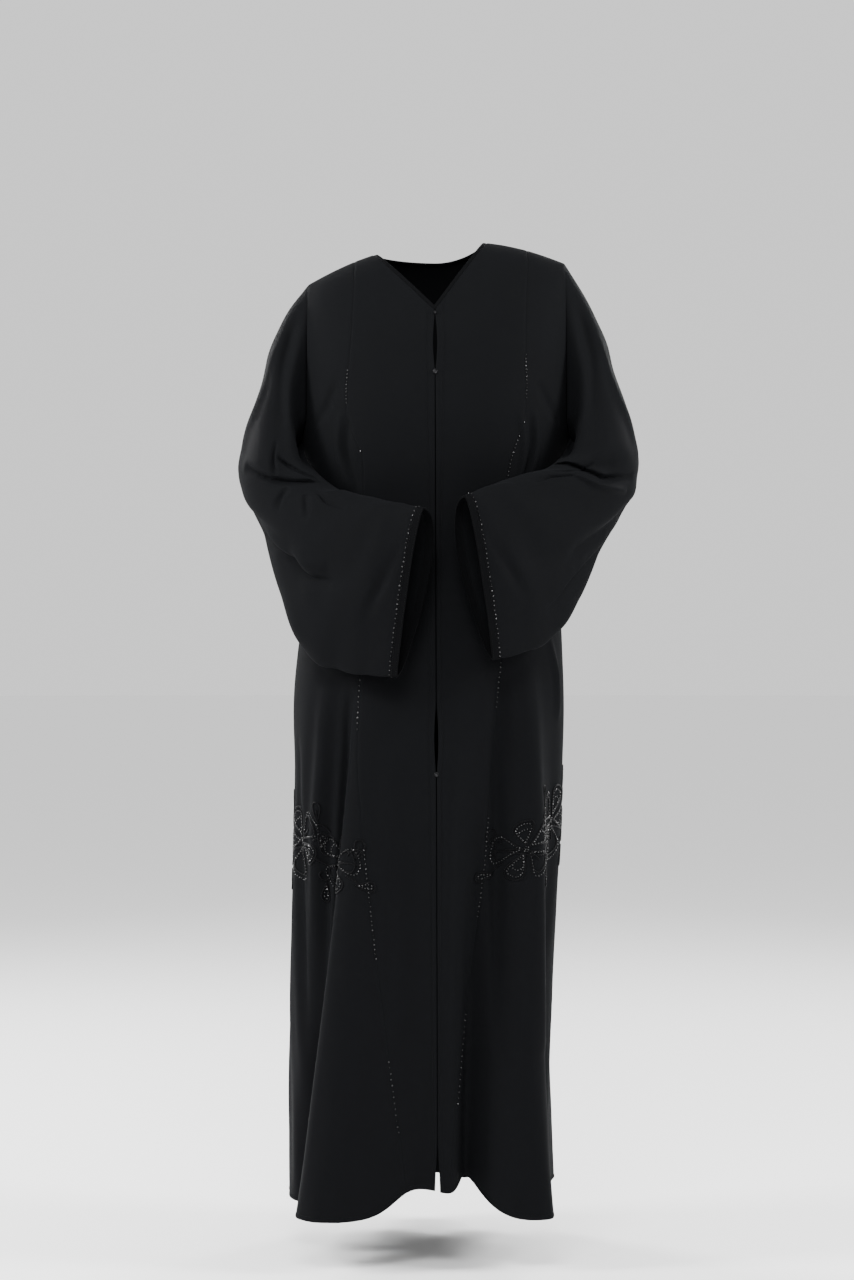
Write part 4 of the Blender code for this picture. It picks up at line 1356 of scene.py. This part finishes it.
class CLOAK_OT_body(bpy.types.Operator):
    """Builds the two fronts, each of a centre and a side panel, and the back"""

    bl_idname = "cloak.body"
    bl_label = "Fronts and back"

    def execute(self, context):
        sizes, crepe = context.scene.cloak_cloth, black_crepe()
        for side, word in WORDS.items():
            _, seam = column_shares(side, FRONT)
            flip = side == RIGHT
            centre, facing = finished_grid(side, FRONT, slice(0, seam + 1), "edge")
            name = f"front_centre_{word}_cloth"
            piece = cloth_wall(name, centre, facing, sizes.thickness, crepe, flip=flip)
            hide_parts(f"front_centre_{word}")
            Shapes.edges[side, "centre"] = (centre, facing)
            panel, facing = finished_grid(side, FRONT, slice(seam, None), "seam")
            name = f"front_side_{word}_cloth"
            piece = cloth_wall(name, panel, facing, sizes.thickness, crepe, flip=flip)
            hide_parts(f"front_side_{word}")
            Shapes.edges[side, "side"] = (panel, facing)
        right, right_facing = finished_grid(RIGHT, BACK, slice(None))
        left, left_facing = finished_grid(LEFT, BACK, slice(None))
        grid = np.concatenate([right[:, ::-1], left[:, 1:]], axis=1)
        facing = np.concatenate([right_facing[:, ::-1], left_facing[:, 1:]], axis=1)
        piece = cloth_wall("back_cloth", grid, facing, sizes.thickness, crepe, flip=True)
        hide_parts("back")
        Shapes.edges["back"] = (grid, facing)
        return {"FINISHED"}


class CLOAK_OT_sleeves(bpy.types.Operator):
    """Builds the two bell sleeves, bent at the elbow as they are worn"""

    bl_idname = "cloak.sleeves"
    bl_label = "Sleeves"

    def execute(self, context):
        sizes, crepe = context.scene.cloak_cloth, black_crepe()
        for side, word in WORDS.items():
            grid, facing = Shapes.sleeves[side]
            offset = seam_dip(from_edge(grid, 0), sizes.seam_depth)
            offset = offset + seam_dip(from_edge(grid, 0, last=True), sizes.seam_depth / 2.0)
            name, flip = f"sleeve_{word}_cloth", side == RIGHT
            grid = grid + facing * offset[..., None]
            piece = cloth_wall(name, grid, facing, sizes.thickness, crepe, ring=True, flip=flip)
            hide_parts(f"sleeve_{word}")
        return {"FINISHED"}


class CLOAK_OT_cuff_bands(bpy.types.Operator):
    """Builds the folded bands round the cuffs"""

    bl_idname = "cloak.cuff_bands"
    bl_label = "Cuff bands"

    def execute(self, context):
        sizes, trim = context.scene.cloak_cloth, black_trim()
        for side, word in WORDS.items():
            band, facing = Shapes.bands[side]
            share = np.linspace(0.0, 1.0, len(band))[:, None]
            crown = CUFF_CROWN * (1.0 - (2.0 * share - 1.0) ** 6) + CUFF_RAISED
            band = band + facing * crown[..., None]
            name, flip = f"cuff_band_{word}_cloth", side == RIGHT
            piece = cloth_wall(name, band, facing, sizes.band_thickness, trim, ring=True, flip=flip)
            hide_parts(f"cuff_band_{word}")
            Shapes.bands[side] = (band, facing)
        return {"FINISHED"}


def neck_path():
    """The neck's edge from the right front edge, round behind the neck, to the left front edge."""
    points, facing = [], []
    order = ((RIGHT, FRONT, True), (RIGHT, BACK, False), (LEFT, BACK, True), (LEFT, FRONT, False))
    for side, face, outward in order:
        shares, _ = column_shares(side, face)
        last = int(np.sum(shares <= high_point(side, face) + 1e-6))
        line, out = Shapes.grids[side, face][-1, :last], Shapes.normals[side, face][-1, :last]
        if not outward:
            line, out = line[::-1], out[::-1]
        skip = 1 if points else 0
        points.append(line[skip:])
        facing.append(out[skip:])
    return np.concatenate(points), unit(np.concatenate(facing))


class CLOAK_OT_neck_binding(bpy.types.Operator):
    """Builds the narrow folded binding round the neck"""

    bl_idname = "cloak.neck_binding"
    bl_label = "Neck binding"

    def execute(self, context):
        trim = black_trim()
        points, facing = neck_path()
        for _ in range(6):
            facing[1:-1] = unit(facing[:-2] + 2.0 * facing[1:-1] + facing[2:])
        tangent = unit(np.gradient(points, axis=0))
        away = unit(np.cross(tangent, facing))
        turn = ring_angles(BINDING_SIDES)
        wide = signed_power(np.cos(turn), 0.7) * BINDING_WIDTH / 2.0
        thick = signed_power(np.sin(turn), 0.7) * BINDING_HALF_HEIGHT
        middle = points + away * (BINDING_WIDTH / 2.0 - 0.2 * MM) - facing * 0.6 * MM
        rings = middle[:, None] + away[:, None] * wide[None, :, None] + facing[:, None] * thick[None, :, None]
        faces, mapped = tube_faces(len(points), BINDING_SIDES)
        corners = np.concatenate([cloth_map(rings, ring=True), np.zeros((1, 2))])[mapped]
        points = np.concatenate([rings.reshape(-1, 3), middle[[0, -1]]])
        piece = new_mesh_piece("neck_binding_cloth", points, faces, trim, corners)
        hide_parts("neck_binding")
        Shapes.edges["neck"] = (middle + away * 1.0 * MM, facing)
        return {"FINISHED"}


class CLOAK_OT_closures(bpy.types.Operator):
    """Builds the neck hook and the two snaps on the front edges"""

    bl_idname = "cloak.closures"
    bl_label = "Closures"

    def execute(self, context):
        metal = metal_material(context.scene.cloak_sewing.metal_colour)
        for node, radius in (("chest_snap", 3.2), ("lower_snap", 3.2), ("neck_hook", 2.3)):
            centre = np.mean([list(corner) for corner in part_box(node)], axis=0)
            out = unit(np.array([0.0, -1.0, 0.12]))
            profile = [(share * radius * MM, height * MM) for share, height in SNAP_PROFILE]
            piece = turned_profile(f"{node}_metal", profile, centre, out, metal)
            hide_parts(node)
        return {"FINISHED"}


def bead_piece(name, rows, size, seed):
    """Beads along rows of places, each turned and sized a little differently from a fixed seed."""
    place, way, out = (np.concatenate(parts) for parts in zip(*rows))
    chance = np.random.default_rng(seed)
    count = len(place)
    scale = size * chance.uniform(0.82, 1.12, (count, 1)) * np.array([[1.0, 1.0, 0.82]])
    turn = chance.uniform(0.0, 2.0 * np.pi, (count, 1))
    aside = np.cross(out, way)
    turned = way * np.cos(turn) + aside * np.sin(turn)
    tilt = chance.normal(0.0, 0.22, (count, 2))
    tipped = unit(out + turned * tilt[:, :1] + np.cross(out, turned) * tilt[:, 1:])
    turned = unit(turned - tipped * np.sum(turned * tipped, axis=1, keepdims=True))
    shift = way * chance.normal(0.0, 0.12, (count, 1)) * size
    shift = shift + aside * chance.normal(0.0, 0.10, (count, 1)) * size
    shape, faces = faceted_bead()
    points, faces = spread(shape, faces, place + shift + out * size * 0.34, turned, tipped, scale)
    glass = bead_material(bpy.context.scene.cloak_sewing.bead_colour)
    piece = new_mesh_piece(name, points, faces, glass, sharp=20.0)
    return piece


class CLOAK_OT_seam_beads(bpy.types.Operator):
    """Sews the beads along the princess seams and round the cuffs"""

    bl_idname = "cloak.seam_beads"
    bl_label = "Beads on seams and cuffs"

    def execute(self, context):
        size = context.scene.cloak_sewing.bead_size
        for side, word in WORDS.items():
            rows = []
            for run in BEAD_RUNS:
                if run.side != side:
                    continue
                height = np.arange(run.top, run.bottom - 0.1, -run.spacing) * MM
                angle = side * seam_angle(side, princess_place(side, FRONT, height), height)
                out = skin_facing(angle, height)
                line = skin(angle, height)
                below = skin(angle, height - 1.0 * MM)
                rows.append((line, unit(below - line), out))
            bead_piece(f"seam_beads_{word}", rows, size, 7 if side == RIGHT else 8)
            band, facing = Shapes.bands[side]
            ring = evenly(joined(band[0]), joined(facing[0]), size * 2.8)
            bead_piece(f"cuff_beads_{word}", [ring], size, 9 if side == RIGHT else 10)
        return {"FINISHED"}


def stitches(name, paths):
    """Machine stitches along paths on the cloth."""
    sizes = bpy.context.scene.cloak_sewing
    places = [evenly(line, out, sizes.stitch_spacing) for line, out in paths]
    place, way, out = (np.concatenate(parts) for parts in zip(*places))
    scale = np.tile([[sizes.stitch_length, sizes.stitch_width, sizes.stitch_width]], (len(place), 1))
    shape, faces = thread_stitch()
    points, faces = spread(shape, faces, place + out * 0.1 * MM, way, out, scale)
    corners = np.tile(np.array([[0.0, 0.0], [0.002, 0.0], [0.002, 1.0]]), (len(faces), 1, 1))
    thread = cord_material("black thread", sizes.thread_colour, 0.55, 5200.0)
    piece = new_mesh_piece(name, points, faces, thread, corners, sharp=80.0)
    return piece


class CLOAK_OT_stitching(bpy.types.Operator):
    """Sews the stitches at the hem, the front edges, the cuffs and the neck"""

    bl_idname = "cloak.stitching"
    bl_label = "Stitching"

    def execute(self, context):
        hem = []
        for key in ((RIGHT, "centre"), (RIGHT, "side"), (LEFT, "centre"), (LEFT, "side"), "back"):
            grid, facing = Shapes.edges[key]
            hem.append((grid[HEM_STITCH_ROW], facing[HEM_STITCH_ROW]))
        stitches("hem_stitches", hem)
        edges = []
        for side in (RIGHT, LEFT):
            grid, facing = Shapes.edges[side, "centre"]
            shares, _ = column_shares(side, FRONT)
            place = int(np.argmin(np.abs(shares - EDGE_STITCH_COLUMNS[1])))
            edges.append((grid[HEM_STITCH_ROW:, place], facing[HEM_STITCH_ROW:, place]))
        stitches("front_edge_stitches", edges)
        for side, word in WORDS.items():
            band, facing = Shapes.bands[side]
            lines = [(joined(band[row]), joined(facing[row])) for row in CUFF_STITCH_ROWS]
            stitches(f"cuff_stitches_{word}", lines)
        stitches("neck_stitches", [Shapes.edges["neck"]])
        return {"FINISHED"}


def band_place(side, along, up):
    """Angle and height of a place on the floral band.

    It is given by the distance round the body from the princess seam and the height over the band's
    middle line, which climbs towards the back.
    """
    middle = BAND_START[side] * MM + BAND_RISE[side] * along
    reference = np.array([(BAND_START[side] + BAND_RISE[side] * BAND_MIDDLE) * MM])
    start = float(seam_angle(side, princess_place(side, FRONT, reference), reference)[0])
    angles = np.linspace(start - BAND_SEARCH_BACK, start + BAND_SEARCH_ON, BAND_SEARCH_STEPS)
    line = skin(side * angles, np.full_like(angles, reference[0]))
    run = run_lengths(line)
    run = run - np.interp(start, angles, run)
    return side * np.interp(along, run, angles), middle + up


def on_band(side, along, up):
    """Points of the band's cloth and their facing, for arrays of distances in millimetres."""
    angle, height = band_place(side, along * MM, up * MM)
    return skin(angle, height), skin_facing(angle, height)


def loop_line(along, up, length, width, turn, count=40):
    """A petal or leaf outline: length times sin(pi u) outwards, width times sin(2 pi u) across."""
    share = np.arange(count) / count
    out = length * np.sin(np.pi * share) ** 0.85
    across = width * np.sin(2.0 * np.pi * share) * (0.75 + 0.25 * np.sin(np.pi * share))
    ahead, aside = math.cos(math.radians(turn)), math.sin(math.radians(turn))
    return along + out * ahead - across * aside, up + out * aside + across * ahead


def curl_line(along, up, heading, length, curl, count=34):
    """A tendril: its heading turns faster and faster, by the power 2.2 of the share of its length."""
    share = np.linspace(0.0, 1.0, count)
    angle = math.radians(heading) + np.radians(curl * 10.0) * share**2.2
    steps = [np.concatenate([[0.0], np.cumsum(part(angle[:-1]))]) for part in (np.cos, np.sin)]
    return along + steps[0] * length / (count - 1), up + steps[1] * length / (count - 1)


class CLOAK_OT_floral_band(bpy.types.Operator):
    """Lays the satin cords and beads of the floral band over both hips"""

    bl_idname = "cloak.floral_band"
    bl_label = "Floral band"

    def execute(self, context):
        sizes = context.scene.cloak_sewing
        cord = cord_material("satin cord", sizes.cord_colour, 0.36, 2600.0)
        for side, word in WORDS.items():
            cords, beads = [], []
            for flower in FLOWERS:
                self.add_flower(side, cords, beads, flower, sizes.bead_size)
            for leaf in LEAVES:
                foot = (leaf.along, leaf.up)
                self.add_loop(side, cords, foot, leaf.length, leaf.width, leaf.turn)
                if leaf.beaded:
                    outline = (leaf.length * 0.72, leaf.width * 0.45, leaf.turn)
                    self.add_beads(side, beads, foot, *outline, sizes.bead_size * 1.8)
                else:
                    self.add_vein(side, cords, foot, leaf.length * 0.66, leaf.turn)
            for tendril in TENDRILS:
                cords.append((*on_band(side, *curl_line(*tendril)), False))
            along = np.linspace(STEM_START, STEM_END, STEM_STEPS)
            cords.append((*on_band(side, along, 9.0 * np.sin(along / 20.0 + 0.6) - 6.0), False))
            piece = cord_piece(f"floral_cords_{word}", cords, sizes.cord_width, sizes.cord_height, cord)
            bead_piece(f"floral_beads_{word}", beads, sizes.bead_size, 11 if side == RIGHT else 12)
        return {"FINISHED"}

    def add_flower(self, side, cords, beads, flower, size):
        """Corded petals, some filled with beads and some ringed by them, and the heart's rings of beads."""
        for number in range(flower.petals):
            turn = flower.turn + number * 360.0 / flower.petals
            ring = math.radians(turn)
            foot = (flower.along + PETAL_FOOT * math.cos(ring), flower.up + PETAL_FOOT * math.sin(ring))
            petal = flower.petal * (1.0 + 0.12 * math.cos(2.3 * number + flower.along))
            self.add_loop(side, cords, foot, petal * 0.84, flower.width, turn)
            if number % 2 == 0:
                for inset in (0.80, 0.56):
                    outline = (petal * 0.84 * inset, flower.width * inset * 0.95, turn)
                    self.add_beads(side, beads, foot, *outline, size * 1.7)
            else:
                self.add_beads(side, beads, foot, petal * 0.91, flower.width * 1.22, turn, size * 1.9)
                self.add_vein(side, cords, foot, petal * 0.5, turn)
        turn = np.linspace(0.0, 2.0 * np.pi, 25)
        for radius in (0.9, 3.2):
            line, out = on_band(side, flower.along + radius * np.cos(turn), flower.up + radius * np.sin(turn))
            beads.append(evenly(line, out, size * 1.3))

    def add_loop(self, side, cords, foot, length, width, turn):
        """A corded outline."""
        cords.append((*on_band(side, *loop_line(*foot, length, width, turn)), True))

    def add_vein(self, side, cords, foot, length, turn):
        """A straight cord up the middle of a petal or leaf."""
        share, turn = np.linspace(0.12, 1.0, 14) * length, math.radians(turn)
        along, up = foot[0] + share * math.cos(turn), foot[1] + share * math.sin(turn)
        cords.append((*on_band(side, along, up), False))

    def add_beads(self, side, beads, foot, length, width, turn, spacing):
        """A row of beads that follows the outline inside it."""
        ring = math.radians(turn)
        start = (foot[0] + BEAD_INSET * math.cos(ring), foot[1] + BEAD_INSET * math.sin(ring))
        line, out = on_band(side, *loop_line(*start, length, width, turn, 60))
        beads.append(evenly(joined(line), joined(out), spacing))


def area_light(light, strength):
    """A soft light at a place, turned to its target."""
    lamp = bpy.data.lights.new(light.name, "AREA")
    lamp.shape = "RECTANGLE"
    lamp.size, lamp.size_y = light.size
    lamp.energy = light.power * strength
    holder = bpy.data.objects.new(light.name, lamp)
    bpy.context.scene.collection.objects.link(holder)
    holder.location = light.place
    way = np.subtract(light.target, light.place)
    tilt = math.atan2(math.hypot(way[0], way[1]), -way[2])
    holder.rotation_euler = (tilt, 0.0, math.atan2(way[1], way[0]) - math.pi / 2.0)


class CLOAK_OT_stage(bpy.types.Operator):
    """Sets the pale floor, the soft studio lights and the camera"""

    bl_idname = "cloak.stage"
    bl_label = "Floor, light and camera"

    def execute(self, context):
        sizes = context.scene.cloak_stage
        ring, radii = ring_angles(FLOOR_SIDES), np.array(FLOOR_RADII)[:, None]
        points = np.zeros((len(FLOOR_RADII), FLOOR_SIDES, 3))
        points[..., 0], points[..., 1] = radii * np.cos(ring), radii * np.sin(ring)
        points[..., 2] = sizes.floor_height
        squares, _ = grid_squares(len(FLOOR_RADII), FLOOR_SIDES, ring=True)
        mesh = bpy.data.meshes.new("floor")
        mesh.from_pydata(points.reshape(-1, 3).tolist(), [], squares.tolist())
        mesh.materials.append(floor_material(sizes.floor_colour))
        floor = bpy.data.objects.new("floor", mesh)
        context.scene.collection.objects.link(floor)
        world = bpy.data.worlds.new("studio")
        context.scene.world = world
        world.use_nodes = True
        self.soft_surround(world.node_tree)
        for light in LIGHTS:
            area_light(light, sizes.light)
        camera = bpy.data.objects.new("camera", bpy.data.cameras.new("camera"))
        context.scene.collection.objects.link(camera)
        camera.location = CAMERA_PLACE
        camera.rotation_euler = (math.pi / 2.0, 0.0, 0.0)
        camera.data.sensor_fit = "VERTICAL"
        camera.data.sensor_height = SENSOR_HEIGHT
        camera.data.lens = FOCAL_LENGTH * SENSOR_HEIGHT
        camera.data.clip_end = 200.0
        context.scene.camera = camera
        return {"FINISHED"}

    def soft_surround(self, tree):
        """White light from all round, dimmer from in front and stronger from overhead."""
        place = tree.nodes.new("ShaderNodeTexCoord").outputs["Generated"]
        split = new_node(tree, "ShaderNodeSeparateXYZ", {"Vector": place})
        parts = []
        for axis, start, end, low, high in SURROUND_RAMPS:
            values = {"From Min": start, "From Max": end, "To Min": low, "To Max": high}
            ramp = new_node(tree, "ShaderNodeMapRange", {"Value": split.outputs[axis], **values})
            ramp.interpolation_type = "SMOOTHSTEP"
            parts.append(ramp.outputs["Result"])
        strength = maths(tree, "ADD", *parts)
        feed(tree, tree.nodes["Background"], {"Color": (1.0, 1.0, 1.0, 1.0), "Strength": strength})


class CLOAK_PT_panel(bpy.types.Panel):
    """Lists the cloak's pieces and their sizes"""

    bl_idname = "CLOAK_PT_panel"
    bl_label = "Cloak"
    bl_space_type = "VIEW_3D"
    bl_region_type = "UI"
    bl_category = "Cloak"

    def draw(self, context):
        layout = self.layout
        for operator in OPERATORS:
            layout.operator(operator.bl_idname)
        for group in (context.scene.cloak_cloth, context.scene.cloak_sewing, context.scene.cloak_stage):
            for name in group.__annotations__:
                layout.prop(group, name)


OPERATORS = (
    CLOAK_OT_body,
    CLOAK_OT_sleeves,
    CLOAK_OT_cuff_bands,
    CLOAK_OT_neck_binding,
    CLOAK_OT_closures,
    CLOAK_OT_seam_beads,
    CLOAK_OT_stitching,
    CLOAK_OT_floral_band,
    CLOAK_OT_stage,
)
GROUPS = (("cloak_cloth", ClothSizes), ("cloak_sewing", SewingSizes), ("cloak_stage", StageSizes))


def register():
    for name, group in GROUPS:
        bpy.utils.register_class(group)
        setattr(bpy.types.Scene, name, bpy.props.PointerProperty(type=group))
    for operator in OPERATORS:
        bpy.utils.register_class(operator)
    bpy.utils.register_class(CLOAK_PT_panel)


def unregister():
    bpy.utils.unregister_class(CLOAK_PT_panel)
    for operator in reversed(OPERATORS):
        bpy.utils.unregister_class(operator)
    for name, group in reversed(GROUPS):
        delattr(bpy.types.Scene, name)
        bpy.utils.unregister_class(group)


def main():
    register()
    work_out_shapes()
    for operator in OPERATORS:
        piece, step = operator.bl_idname.split(".")
        getattr(getattr(bpy.ops, piece), step)()
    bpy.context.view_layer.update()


if __name__ == "__main__":
    main()
